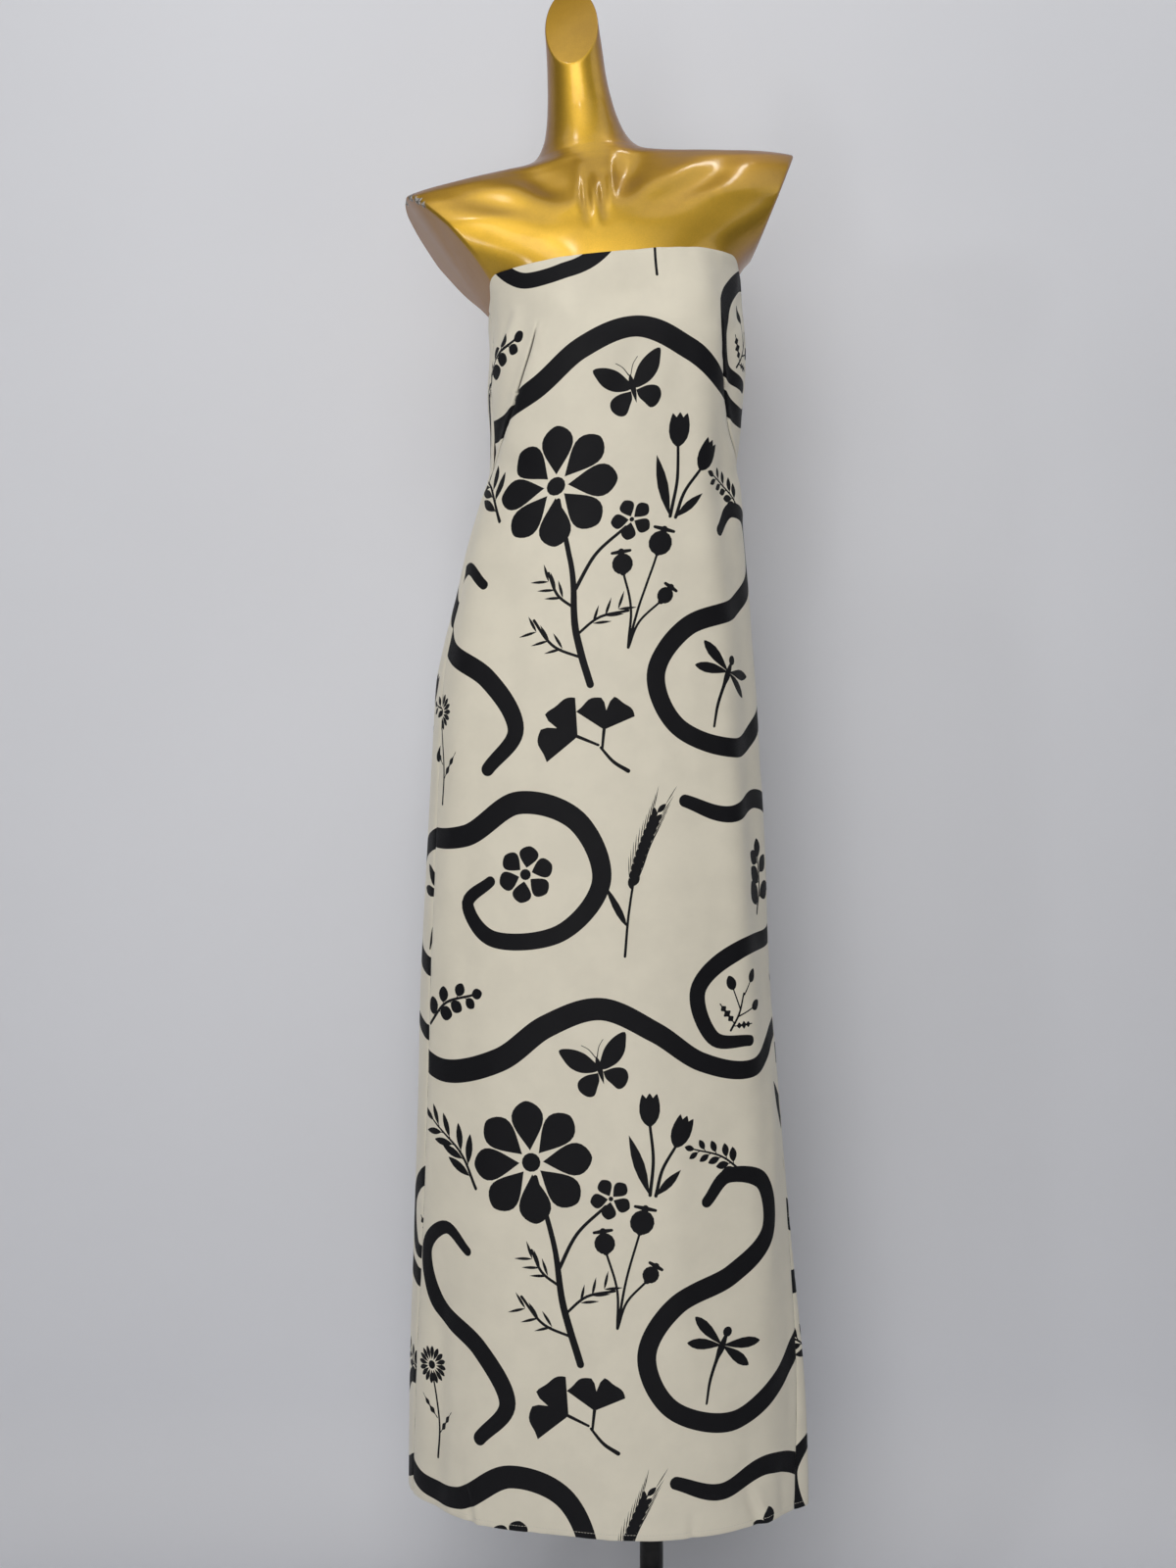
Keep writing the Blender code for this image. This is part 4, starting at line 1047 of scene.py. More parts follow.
def cloth_relief(flat, u, v):
    """How far creases, seams, darts and turned edges lift the cloth off its smooth form."""
    rise = sum(crease_rise(crease, u, v) for crease in flat.panel.creases)
    start, end = flat.edges(v)
    for phase, away in ((1.3, u - start), (2.9, end - u)):
        rise = rise + lifted(SEAM_GROOVE, away) + lifted(SEAM_RIDGE, away - SEAM_RIDGE_IN)
        rise = rise + seam_waves(v, phase) * lifted(SEAM_PUCKER, away)
    for dart in flat.panel.darts:
        line = dart_curve(dart)
        gap = distance_to(line, u, v)
        starts = smooth_step((line[0][1] - v) / 0.02 + 0.3)
        rise = rise + starts * (lifted(DART_GROOVE, gap) + lifted(DART_DIP, gap))
        far = (gap / DART_LIFT_WIDTH) ** 2
        lift = np.where(beyond_dart(dart, u, v)[0], DART_LIFT_BEYOND, DART_LIFT_FRONT)
        rise = rise + starts * lift * far * np.exp(1 - far)
    hem, top = v - HEM_HEIGHT, flat.top(u) - v
    rise = rise + lifted(STITCH_GROOVE, hem - STITCHES_UP)
    return rise + seam_waves(u, 0.8) * lifted(HEM_PUCKER, hem) + seam_waves(u, 2.1) * lifted(TOP_PUCKER, top)


def cloth_wall(flat, u, v):
    """The cloth's thickness there: it is double where the hem and the top edge are turned in."""
    turned = smooth_step((HEM_DEPTH - (v - HEM_HEIGHT)) / TURNING_STEP + 0.5)
    turned = np.maximum(turned, smooth_step((TOP_TURNING - (flat.top(u) - v)) / TURNING_STEP + 0.5))
    return WALL + TURNED_WALL * turned


def build_panel(name, flat, materials):
    """One panel of the dress, with the print cut into its mesh and its edges turned and rounded."""
    darts = flat.panel.darts
    places, triangles, outlines = panel_net(flat)
    u, v = places.T
    face, normal = flat.surface(u, v)
    relief = cloth_relief(flat, u, v)[:, None]
    wall = cloth_wall(flat, u, v)[:, None]
    outer = face + normal * relief
    inner = face + normal * (relief - wall)

    # The edge: two rows of points that round it, and three strips of faces.
    loop, owners = rim_loop(triangles)
    count, steps = len(places), np.arange(len(loop))
    out = np.cross(np.roll(outer[loop], -1, axis=0) - np.roll(outer[loop], 1, axis=0), normal[loop])
    out = outer[loop] + out / np.linalg.norm(out, axis=1, keepdims=True) * EDGE_ROUND
    rounds = [out - normal[loop] * wall[loop] * share for share in (0.25, 0.75)]
    levels = [loop, 2 * count + steps, 2 * count + len(loop) + steps, loop + count]
    strips = []
    for near, far in zip(levels, levels[1:]):
        strips.append(np.stack([np.roll(near, -1), near, far, np.roll(far, -1)], axis=1))
    faces = triangles.tolist() + (triangles[:, ::-1] + count).tolist() + np.vstack(strips).tolist()
    mesh = new_mesh(name, np.vstack([outer, inner] + rounds).tolist(), [], faces)

    # The print: ink outside, its shade inside, and an edge as its neighbour.
    centres = places[triangles].mean(axis=1)
    printed = print_place(darts, *centres.T)
    inked = np.zeros(len(triangles), int)
    for outline in outlines:
        inked[inside(outline, printed)] = 1
    for finish in materials:
        mesh.materials.append(finish)
    index = np.concatenate([inked, inked * 2] + [inked[owners]] * 3)
    mesh.polygons.foreach_set("material_index", index.astype(np.int32))
    mesh.shade_smooth()

    corners = places[triangles]
    beyond = [np.repeat(beyond_dart(dart, *centres.T)[0][:, None], 3, axis=1) for dart in darts]
    cloth_uv = print_place(darts, corners[..., 0], corners[..., 1], beyond or None)
    strip_uv = places[loop][np.stack([np.roll(steps, -1), steps, steps, np.roll(steps, -1)], axis=1)]
    uvs = [part.reshape(-1, 2) for part in (cloth_uv, cloth_uv[:, ::-1])] + [strip_uv.reshape(-1, 2)] * 3
    layer = mesh.uv_layers.new(name="cloth")
    layer.data.foreach_set("uv", np.vstack(uvs).astype(np.float32).ravel())
    mesh.update()
    return new_object(name + "_cloth", mesh)


# --- meshes
def new_mesh(name, points, edges, faces=()):
    mesh = bpy.data.meshes.new(name)
    mesh.from_pydata(points, edges, faces)
    return mesh


def new_object(name, data):
    made = bpy.data.objects.new(name, data)
    bpy.context.scene.collection.objects.link(made)
    return made


def made_mesh(thing, name):
    """A modified or curve object as a plain mesh object of that name, at the origin; the first one goes."""
    bpy.context.view_layer.update()
    ready = thing.evaluated_get(bpy.context.evaluated_depsgraph_get())
    mesh = bpy.data.meshes.new_from_object(ready)
    mesh.transform(thing.matrix_world)
    mesh.name = name
    bpy.data.objects.remove(thing)
    return new_object(name, mesh)


def painted(made, finish, sharp_from):
    """The object in one material, smooth but for edges that turn by more than so many degrees."""
    made.data.materials.clear()
    made.data.materials.append(finish)
    made.data.shade_smooth()
    made.data.set_sharp_from_angle(angle=math.radians(sharp_from))
    return made


def show_as(piece, slot, *nodes, body=BODY):
    """Puts a finished piece on its body, in place of CAD nodes."""
    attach(piece, body)
    if nodes:
        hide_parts(*nodes)


# --- the stand
def turned(name, profile, finish, steps):
    """A solid of revolution about Z from (radius, height) points, the outer side running down."""
    edges = [(i, i + 1) for i in range(len(profile) - 1)]
    thing = new_object(name + "_profile", new_mesh(name, [(r, 0, z) for r, z in profile], edges))
    spin = thing.modifiers.new("turn", "SCREW")
    spin.steps = spin.render_steps = steps
    spin.use_merge_vertices = True
    spin.merge_threshold = 0.00001
    return painted(made_mesh(thing, name), finish, 40)


def rounded(profile, radius, steps=4):
    """The profile with each inner corner rounded off by an arc of up to that radius."""
    done = [profile[0]]
    for points in zip(profile[:-2], profile[1:-1], profile[2:]):
        before, corner, after = (np.array(p, float) for p in points)
        reach = min(radius, np.hypot(*(corner - before)) / 2.2, np.hypot(*(after - corner)) / 2.2)
        a = corner + (before - corner) / np.hypot(*(before - corner)) * reach
        b = corner + (after - corner) / np.hypot(*(after - corner)) * reach
        for t in np.linspace(0, 1, steps + 1):
            done.append(tuple(a * (1 - t) ** 2 + 2 * corner * t * (1 - t) + b * t**2))
    return done + [profile[-1]]


def build_stand(black):
    """The base plate with its hub, the flange with its collar, and the pole between them."""
    bore = POLE_RADIUS + SEAM_GAP
    base = [
        (0, BASE_THICKNESS), (bore, BASE_THICKNESS), (bore, HUB_HEIGHT), (HUB_RADIUS, HUB_HEIGHT),
        (HUB_RADIUS, BASE_THICKNESS + WELD), (HUB_RADIUS + WELD, BASE_THICKNESS),
        (BASE_RADIUS, BASE_THICKNESS), (BASE_RADIUS, 0), (0, 0),
    ]
    top = FORM_SECTIONS[0].height - SEAM_GAP
    under = top - FLANGE_THICKNESS
    low = under - COLLAR_LENGTH
    flange = [
        (0, top), (FLANGE_RADIUS, top), (FLANGE_RADIUS, under), (COLLAR_RADIUS, under),
        (COLLAR_RADIUS, low), (bore, low), (bore, under), (0, under),
    ]
    foot, head = BASE_THICKNESS + SEAM_GAP, under - SEAM_GAP
    pole = [(0, head), (POLE_RADIUS, head), (POLE_RADIUS, foot), (0, foot)]
    for name, node, profile, corner, steps in (
        ("base_painted", "base_plate", base, 0.0025, 128),
        ("flange_painted", "pole_flange", flange, 0.0012, 96),
        ("pole_painted", "pole", pole, 0.001, 64),
    ):
        show_as(turned(name, rounded(profile, corner), black, steps), "black_metal", node)


# --- the display form
# Relief of the throat and the shoulders, seen from the front: (u, v) is (x, z) there.
FORM_RELIEF = rows_of(Crease, 7, [
    (-232, 1570, -66, 1526, -5, 15, -3.2),  # grooves under the collarbones
    (100, 1628, -36, 1531, 11, 16, -4),
    (-205, 1588, -76, 1545, -3, 12, 0.8),  # collarbones
    (60, 1628, -40, 1548, 9, 11, 0.8),
    (-142, 1606, -84, 1540, -2, 18, -6),  # hollows beside the neck
    (-20, 1632, -30, 1542, 1, 14.5, -5.2),
    (-79, 1612, -77.5, 1528, 0, 5.5, 2.1),  # tendons of the neck
    (-46, 1616, -44.2, 1532, 0, 5.4, 2.1),
    (-63.4, 1588, -56.6, 1512, 0, 4.8, 1.6),
    (-76.4, 1598, -67.2, 1514, 0.6, 5.5, -2.8),  # between the tendons
    (-52.7, 1592, -50.4, 1516, 0, 5.2, -2.4),
])
RELIEF_ENDS = 1.4  # these fade out over more of their length than creases of cloth do

SHOWN_FROM = 1.430  # above this height the form's mesh is fine
FINE_RING, COARSE_RING = 0.0027, 0.0090  # between its rings, above and below
RING_POINTS = 320
CLOSER_IN_FRONT = 0.45  # how far the points of a ring move towards the front

CUT_ROUNDS = (0.0034, 0.0034, 0.0016)  # how far the rims of the arms' and the neck's ends are rounded
ROUND_STEPS = (0.03, 0.12, 0.27, 0.47, 0.72, 1.0)
MERGED_WITHIN = 0.00035
CUTTER_SIZE = 0.30

# Where the paint is chipped: the middle of each place and its radius.
CHIPS = [
    ((-0.2620, -0.016, 1.5740), 0.0068), ((-0.2545, -0.037, 1.5690), 0.0066),
    ((-0.2465, -0.049, 1.5600), 0.0060), ((-0.2400, -0.055, 1.5530), 0.0042),
]
CHIP_DEPTH = 0.0013


def shoulder_axes():
    """The centre and the axes (to the wearer's left, back, up) of the rolled and turned shoulders."""
    row = section_at(FORM_SECTIONS, np.array(SHOULDER_HEIGHT))
    roll, yaw = math.radians(float(row.roll)), math.radians(float(row.yaw))
    axes = Matrix.Rotation(-roll, 3, "Y") @ Matrix.Rotation(yaw, 3, "Z")
    return Vector((float(row.centre_x), float(row.centre_y), SHOULDER_HEIGHT)), axes


def form_surface(angle, height):
    """The form's surface with its throat and collarbones."""
    reach = 0.002
    face = form_point(angle, height)
    round_it = form_point(angle + reach, height) - form_point(angle - reach, height)
    up = form_point(angle, height + reach / 4) - form_point(angle, height - reach / 4)
    normal = np.cross(round_it, up)
    normal /= np.maximum(np.linalg.norm(normal, axis=-1, keepdims=True), 1e-12)
    facing = smooth_step(-normal[..., 1] * 3)
    rise = sum(crease_rise(crease, face[..., 0], face[..., 2], RELIEF_ENDS) for crease in FORM_RELIEF)
    return face + normal * (rise * facing)[..., None]


def even_heights():
    """Heights of rings that lie evenly spaced along the form's surface, closer where it shows."""
    fine = np.arange(FORM_SECTIONS[0].height, FORM_SECTIONS[-1].height, 0.00025)
    run = np.zeros(len(fine) - 1)
    for angle in np.radians(np.arange(0, 360, 30)):
        line = form_point(np.full(len(fine), angle), fine)
        run = np.maximum(run, np.linalg.norm(np.diff(line, axis=0), axis=1))
    shown = smooth_step((fine[1:] - SHOWN_FROM) / 0.04)
    run = np.concatenate([[0], np.cumsum(run / (COARSE_RING + (FINE_RING - COARSE_RING) * shown))])
    return np.interp(np.linspace(0, run[-1], round(run[-1])), run, fine)


def cut_planes():
    """The middle and the normal of each flat end: the left arm's, the right arm's and the neck's."""
    centre, axes = shoulder_axes()
    tilt, forward = math.radians(ARM_CUT_TILT), math.radians(ARM_CUT_FORWARD)
    planes = []
    for side in (1, -1):
        level = math.cos(tilt) * math.cos(forward)
        normal = axes @ Vector((side * level, -math.sin(forward), -math.sin(tilt) * math.cos(forward)))
        middle = centre + axes @ Vector((ARM_CUT_SHIFT + side * ARM_CUT_OUT, 0, -ARM_CUT_BELOW))
        planes.append((middle, normal))
    normal = Vector((-NECK_CUT_RISE_LEFT, -NECK_CUT_RISE_BACK, 1)).normalized()
    return planes + [(Vector(NECK_CUT_CENTRE), normal)]


def plane_cutter(point, normal, below=CUTTER_SIZE / 2, run_out=90.0):
    """A large box whose one face lies on the plane, on the side that the normal points to."""
    shape = bmesh.new()
    bmesh.ops.create_cube(shape, size=CUTTER_SIZE, matrix=Matrix.Translation((0, 0, CUTTER_SIZE / 2)))
    for corner in shape.verts:
        if corner.co.y < 0:
            corner.co.y = -below - corner.co.z / math.tan(math.radians(run_out))
    turn = Vector(normal).to_track_quat("Z", "Y").to_matrix().to_4x4()
    bmesh.ops.transform(shape, matrix=Matrix.Translation(point) @ turn, verts=shape.verts)
    mesh = bpy.data.meshes.new("cutter")
    shape.to_mesh(mesh)
    shape.free()
    return new_object("cutter", mesh)


def build_form(finish):
    """The form as rings, cut flat at the arms and the neck; finish is its paint, then its ends' paints."""
    angles = np.linspace(0, 2 * math.pi, RING_POINTS, endpoint=False)
    angles = angles - CLOSER_IN_FRONT * np.cos(angles)
    rings = form_surface(angles[None, :], even_heights()[:, None])
    index = np.arange(rings[..., 0].size).reshape(-1, RING_POINTS)
    low, high = index[:-1], index[1:]
    quads = np.stack([low, np.roll(low, -1, axis=1), np.roll(high, -1, axis=1), high], axis=-1).reshape(-1, 4)
    ends = [index[0][::-1].tolist(), index[-1].tolist()]
    mesh = new_mesh("form", rings.reshape(-1, 3).tolist(), [], quads.tolist() + ends)
    mesh.materials.append(finish[0])
    form = new_object("form_raw", mesh)

    planes = cut_planes()
    reaches = 2 * [(ARM_CUT_REACH, ARM_CUT_RUN_OUT)] + [()]
    cutters = [plane_cutter(*plane, *reach) for plane, reach in zip(planes, reaches)]
    for cutter in cutters:
        change = form.modifiers.new("cut", "BOOLEAN")
        change.operation = "DIFFERENCE"
        change.object = cutter
    made = made_mesh(form, "form_painted")
    for cutter in cutters:
        bpy.data.objects.remove(cutter)

    shape = bmesh.new()
    shape.from_mesh(made.data)
    bmesh.ops.remove_doubles(shape, verts=shape.verts, dist=MERGED_WITHIN)
    bmesh.ops.dissolve_degenerate(shape, edges=shape.edges, dist=0.0001)
    round_the_cuts(shape, planes)
    dent_the_chips(shape)
    shape.to_mesh(made.data)
    shape.free()
    made.data.materials.clear()
    for each in finish:
        made.data.materials.append(each)
    show_as(made, "gold_paint", "dress_form")


def rim_rows(shape, point, normal, size):
    """Adds the rows of points with which the rim of a flat end is rounded."""
    for share in ROUND_STEPS:
        level = point - normal * size * share
        near = [f for f in shape.faces if any(abs((v.co - level).dot(normal)) < 0.004 for v in f.verts)]
        near += list({v for f in near for v in f.verts}) + list({e for f in near for e in f.edges})
        bmesh.ops.bisect_plane(shape, geom=near, plane_co=level, plane_no=normal, dist=0.00001)


def lies_on(face, point, normal):
    return abs((face.calc_center_median() - point).dot(normal)) < 0.0002 and face.normal.dot(normal) > 0.999


def rim_moves(shape, flat, point, normal, size):
    """How far each point near the rim of a flat end moves in, so that a round of that size joins the two."""
    rim = {v for f in flat for v in f.verts}
    tree = KDTree(len(rim))
    for k, corner in enumerate(rim):
        tree.insert(corner.co, k)
    tree.balance()
    moves = {}
    for corner in shape.verts:
        depth = -(corner.co - point).dot(normal)
        if depth > size or depth < -0.0001 or tree.find(corner.co)[2] > 1.5 * size:
            continue
        outward = sum((f.normal for f in corner.link_faces if f not in flat), Vector())
        outward -= normal * outward.dot(normal)
        inset = size - math.sqrt(max(0.0, size**2 - (size - max(depth, 0.0)) ** 2))
        if outward.length > 1e-6:
            moves[corner] = -outward.normalized() * inset
    return moves


def round_the_cuts(shape, planes):
    """Rounded rims round the flat ends, which get their own paint."""
    for (point, normal), size in zip(planes, CUT_ROUNDS):
        rim_rows(shape, point, normal, size)
    for face in shape.faces:
        face.smooth = True
        face.material_index = 0
    moves = {}
    for (point, normal), size, paint in zip(planes, CUT_ROUNDS, (1, 1, 2)):
        flat = {face for face in shape.faces if lies_on(face, point, normal)}
        for face in flat:
            face.material_index = paint
        moves.update(rim_moves(shape, flat, point, normal, size))
    for corner, step in moves.items():
        corner.co += step
    shape.normal_update()


def dent_the_chips(shape):
    """Ragged dents where the paint is chipped."""
    for corner in shape.verts:
        for spot, radius in CHIPS:
            reach = (corner.co - Vector(spot)).length / radius
            if reach < 1:
                x, y, z = corner.co
                rough = 0.55 + 0.45 * math.sin(x * 2900 + z * 1700) * math.cos(y * 2300)
                corner.co -= corner.normal * CHIP_DEPTH * rough * (1 - reach**2)
                break


# --- node trees
class Nodes:
    """A node tree with short ways to add to it. An input takes a plain value, or the output that feeds it."""

    def __init__(self, tree):
        self.tree = tree

    def fill(self, node, inputs):
        for key, value in inputs.items():
            if isinstance(value, bpy.types.NodeSocket):
                self.tree.links.new(value, node.inputs[key])
            else:
                node.inputs[key].default_value = value

    def new(self, kind, inputs=None, out=0, **settings):
        """A new node's output, or all its outputs where out is None."""
        node = self.tree.nodes.new(kind)
        for label, value in settings.items():
            setattr(node, label, value)
        self.fill(node, inputs or {})
        return node.outputs if out is None else node.outputs[out]

    def math(self, operation, *values):
        return self.new("ShaderNodeMath", dict(enumerate(values)), operation=operation)

    def scaled(self, vector, by):
        return self.new("ShaderNodeVectorMath", {0: vector, "Scale": by}, operation="SCALE")

    def noise(self, place, scale, detail=3.0, rough=0.5):
        inputs = {"Vector": place, "Scale": scale, "Detail": detail, "Roughness": rough}
        return self.new("ShaderNodeTexNoise", inputs, "Fac")

    def ramp(self, value, low, high, at_low=0.0, at_high=1.0):
        inputs = {"Value": value, "From Min": low, "From Max": high, "To Min": at_low, "To Max": at_high}
        return self.new("ShaderNodeMapRange", inputs, "Result", interpolation_type="SMOOTHSTEP")

    def mixed(self, share, a, b):
        """A colour between two, which are colours or outputs."""
        a, b = ((*c, 1.0) if isinstance(c, tuple) else c for c in (a, b))
        return self.new("ShaderNodeMix", {"Factor": share, 6: a, 7: b}, 2, data_type="RGBA")

    def bump(self, height, strength, distance):
        return self.new("ShaderNodeBump", {"Strength": strength, "Distance": distance, "Height": height})

    def object_place(self):
        return self.new("ShaderNodeTexCoord", out="Object")

    def worn(self, wear, scale=1.0):
        """The masks of the wear on a painted surface."""
        inputs = {"Place": self.object_place(), "Scale": scale}
        return self.new("ShaderNodeGroup", inputs, None, node_tree=wear)


class NodeGroup(Nodes):
    """A new group. Each socket is a name, its kind and, for some inputs, a default."""

    def __init__(self, name, tree_kind, inputs, outputs):
        super().__init__(bpy.data.node_groups.new(name, tree_kind))
        for way, sockets in (("INPUT", inputs), ("OUTPUT", outputs)):
            for label, kind, *default in sockets:
                made = self.tree.interface.new_socket(label, in_out=way, socket_type="NodeSocket" + kind)
                if default:
                    made.default_value = default[0]
        self.given = self.tree.nodes.new("NodeGroupInput").outputs
        self.done = self.tree.nodes.new("NodeGroupOutput")

    def finished(self, **outputs):
        self.fill(self.done, outputs)
        return self.tree


# --- stitches
BAR_SEGMENTS, BAR_RINGS = 8, 5  # a repeated bar has few faces
STITCH_COVER = 0.82  # of a stitch's length shows as thread
STITCHES_OUT = 0.00005  # from the cloth to the thread's middle


def bars_tree():
    """Small rounded bars along a path: stitches lie along it, zip teeth across it."""
    inputs = [
        ("Path", "Geometry"), ("Spacing", "Float", 0.003), ("Bar length", "Float", 0.0024),
        ("Bar radius", "Float", 0.0002), ("Across", "Float", 0.0), ("Finish", "Material"),
    ]
    tree = NodeGroup("bars along a path", "GeometryNodeTree", inputs, [("Bars", "Geometry")])
    given = tree.given
    curve = tree.new("GeometryNodeMeshToCurve", {"Mesh": given["Path"]})
    spaced = {"Curve": curve, "Length": given["Spacing"]}
    spaced = tree.new("GeometryNodeResampleCurve", spaced, mode="LENGTH")

    ball = {"Segments": BAR_SEGMENTS, "Rings": BAR_RINGS, "Radius": 1.0}
    ball = tree.new("GeometryNodeMeshUVSphere", ball)
    half = tree.math("MULTIPLY", given["Bar length"], 0.5)
    size = tree.new("ShaderNodeCombineXYZ", {"X": given["Bar radius"], "Y": given["Bar radius"], "Z": half})
    bar = tree.new("GeometryNodeTransform", {"Geometry": ball, "Scale": size})

    along = tree.new("GeometryNodeInputTangent")
    across = tree.new("ShaderNodeVectorMath", {0: along, 1: (0, 1, 0)}, operation="CROSS_PRODUCT")
    way = {"Factor": given["Across"], 4: along, 5: across}
    turn = {"Vector": tree.new("ShaderNodeMix", way, 1, data_type="VECTOR")}
    turn = tree.new("FunctionNodeAlignRotationToVector", turn, axis="Z")

    bars = {"Points": spaced, "Instance": bar, "Rotation": turn}
    bars = tree.new("GeometryNodeInstanceOnPoints", bars)
    bars = tree.new("GeometryNodeRealizeInstances", {"Geometry": bars})
    bars = tree.new("GeometryNodeSetShadeSmooth", {"Geometry": bars})
    bars = tree.new("GeometryNodeSetMaterial", {"Geometry": bars, "Material": given["Finish"]})
    return tree.finished(Bars=bars)


def bars_along(name, tree, paths, values):
    """One mesh of bars along the given runs of points."""
    points, edges = [], []
    for path in paths:
        edges += [(len(points) + i, len(points) + i + 1) for i in range(len(path) - 1)]
        points += path.tolist()
    thing = new_object(name + "_path", new_mesh(name + "_path", points, edges))
    change = thing.modifiers.new("bars", "NODES")
    change.node_group = tree
    for item in tree.interface.items_tree:
        if item.item_type == "SOCKET" and item.name in values:
            change[item.identifier] = values[item.name]
    return made_mesh(thing, name)


def path_on(flat, u, v):
    """The thread's path along flat places of a panel."""
    face, normal = flat.surface(u, v)
    return face + normal * (cloth_relief(flat, u, v) + STITCHES_OUT)[:, None]


def build_stitches(flats, tree, thread, props):
    """The rows of machine stitches: along the hem, and round the zip."""
    rows = {"hem_stitches": [], "zip_stitches": []}
    for name, flat in flats.items():
        v = HEM_HEIGHT + STITCHES_UP
        start, end = flat.edges(v)
        u = np.linspace(start + 0.001, end - 0.001, 400)
        rows["hem_stitches"].append(path_on(flat, u, np.full(len(u), v)))
        side = {"dress_back_left": -1, "dress_back_right": 1}.get(name)
        if side:
            low, high = TOP_BACK_HEIGHT - ZIP_LENGTH, float(flat.top(side * ZIP_STITCHES_OUT)) - 0.0015
            down = np.linspace(high, low, 160)
            inward = np.linspace(ZIP_STITCHES_OUT, 0.0012, 8)[1:]
            u = side * np.concatenate([np.full(len(down), ZIP_STITCHES_OUT), inward])
            v = np.concatenate([down, np.full(len(inward), low)])
            rows["zip_stitches"].append(path_on(flat, u, v))
    stitch = {
        "Spacing": props.stitch_length, "Bar length": props.stitch_length * STITCH_COVER,
        "Bar radius": props.thread_width / 2, "Across": 0.0, "Finish": thread,
    }
    for name, paths in rows.items():
        show_as(bars_along(name, tree, paths, stitch), "dress_cloth")


# --- the zip
ZIP_LENGTH = 0.380
ZIP_STITCHES_OUT = 0.0065  # from the seam
COIL_PITCH, COIL_WIDTH, COIL_RADIUS = 0.0011, 0.0030, 0.00034
COIL_STEP = 0.004  # between the points of its path
SLIDER_BELOW_TOP = 0.010
SLIDER_WIDTH, SLIDER_THICKNESS, SLIDER_HEIGHT = 0.0065, 0.0016, 0.0110
BRIDGE_WIDTH, BRIDGE_EYE, BRIDGE_WALL, BRIDGE_SUNK = 0.0022, 0.0020, 0.0009, 0.0005
TAB_BAR, TAB_WIDTH, TAB_LENGTH = 0.0010, 0.0062, 0.0230
TAB_LEG, TAB_SLOT = 0.0014, 0.0042
TAB_HOLE_RADIUS, TAB_CORNER, SLOT_CORNER = 0.0011, 0.0011, 0.0010
SLIDER_CORNER, SLIDER_FOOT_CORNER = 0.0014, 0.0012
AXIS_OUT = SLIDER_THICKNESS + BRIDGE_EYE / 2  # from the cloth to the pin that the tab turns on


def zip_axes():
    """Where the slider sits on the cloth, with axes across, out of and up the back."""
    joint = frame["record"]["behaviour"]["joints"][0]
    across = Vector(joint["axis"]).normalized()
    middle = back_middle(TOP_BACK_HEIGHT)
    high, low = (Vector(dress_point(middle, TOP_BACK_HEIGHT - down, CLOTH)) for down in (0, 0.02))
    out = (high - low).cross(across).normalized()
    seat = Vector(joint["pos_m"]) - out * AXIS_OUT
    return Matrix.Translation(seat) @ Matrix((across, out, across.cross(out))).transposed().to_4x4()


def mirrored(outline):
    """The outline's right half, from its top to its foot, with its left half."""
    return outline + [(-x, y) for x, y in reversed(outline)]


def arc(centre, radius, start, end, steps=8):
    """Points round a centre, with the angles in degrees from the right."""
    turns = np.radians(np.linspace(start, end, steps))
    return [(centre[0] + radius * math.cos(t), centre[1] + radius * math.sin(t)) for t in turns]


def plate(name, outlines, thickness, round_off, finish, matrix):
    """A flat plate with rounded edges from closed outlines, of which the later ones are holes."""
    curve = bpy.data.curves.new(name, "CURVE")
    curve.dimensions = "2D"
    curve.fill_mode = "BOTH"
    curve.extrude = thickness / 2 - round_off
    curve.bevel_depth = round_off
    curve.bevel_resolution = 3
    curve.offset = -round_off
    for outline in outlines:
        spline = curve.splines.new("POLY")
        spline.points.add(len(outline) - 1)
        for point, (x, y) in zip(spline.points, outline):
            point.co = (x, y, 0, 1)
        spline.use_cyclic_u = True
    thing = new_object(name + "_outline", curve)
    thing.matrix_world = matrix
    return painted(made_mesh(thing, name), finish, 50)


def build_coil(tree, tape):
    """The closed coil behind the seam."""
    low, high = TOP_BACK_HEIGHT - ZIP_LENGTH + COIL_STEP, TOP_BACK_HEIGHT - SLIDER_BELOW_TOP
    heights = np.arange(low, high, COIL_STEP)
    path = dress_point(back_middle(heights), heights, COIL_RADIUS - SEAM_GAP)
    tooth = {
        "Spacing": COIL_PITCH, "Bar length": COIL_WIDTH, "Bar radius": COIL_RADIUS, "Across": 1.0,
        "Finish": tape,
    }
    show_as(bars_along("zip_coil", tree, [path], tooth), "zip_tape")


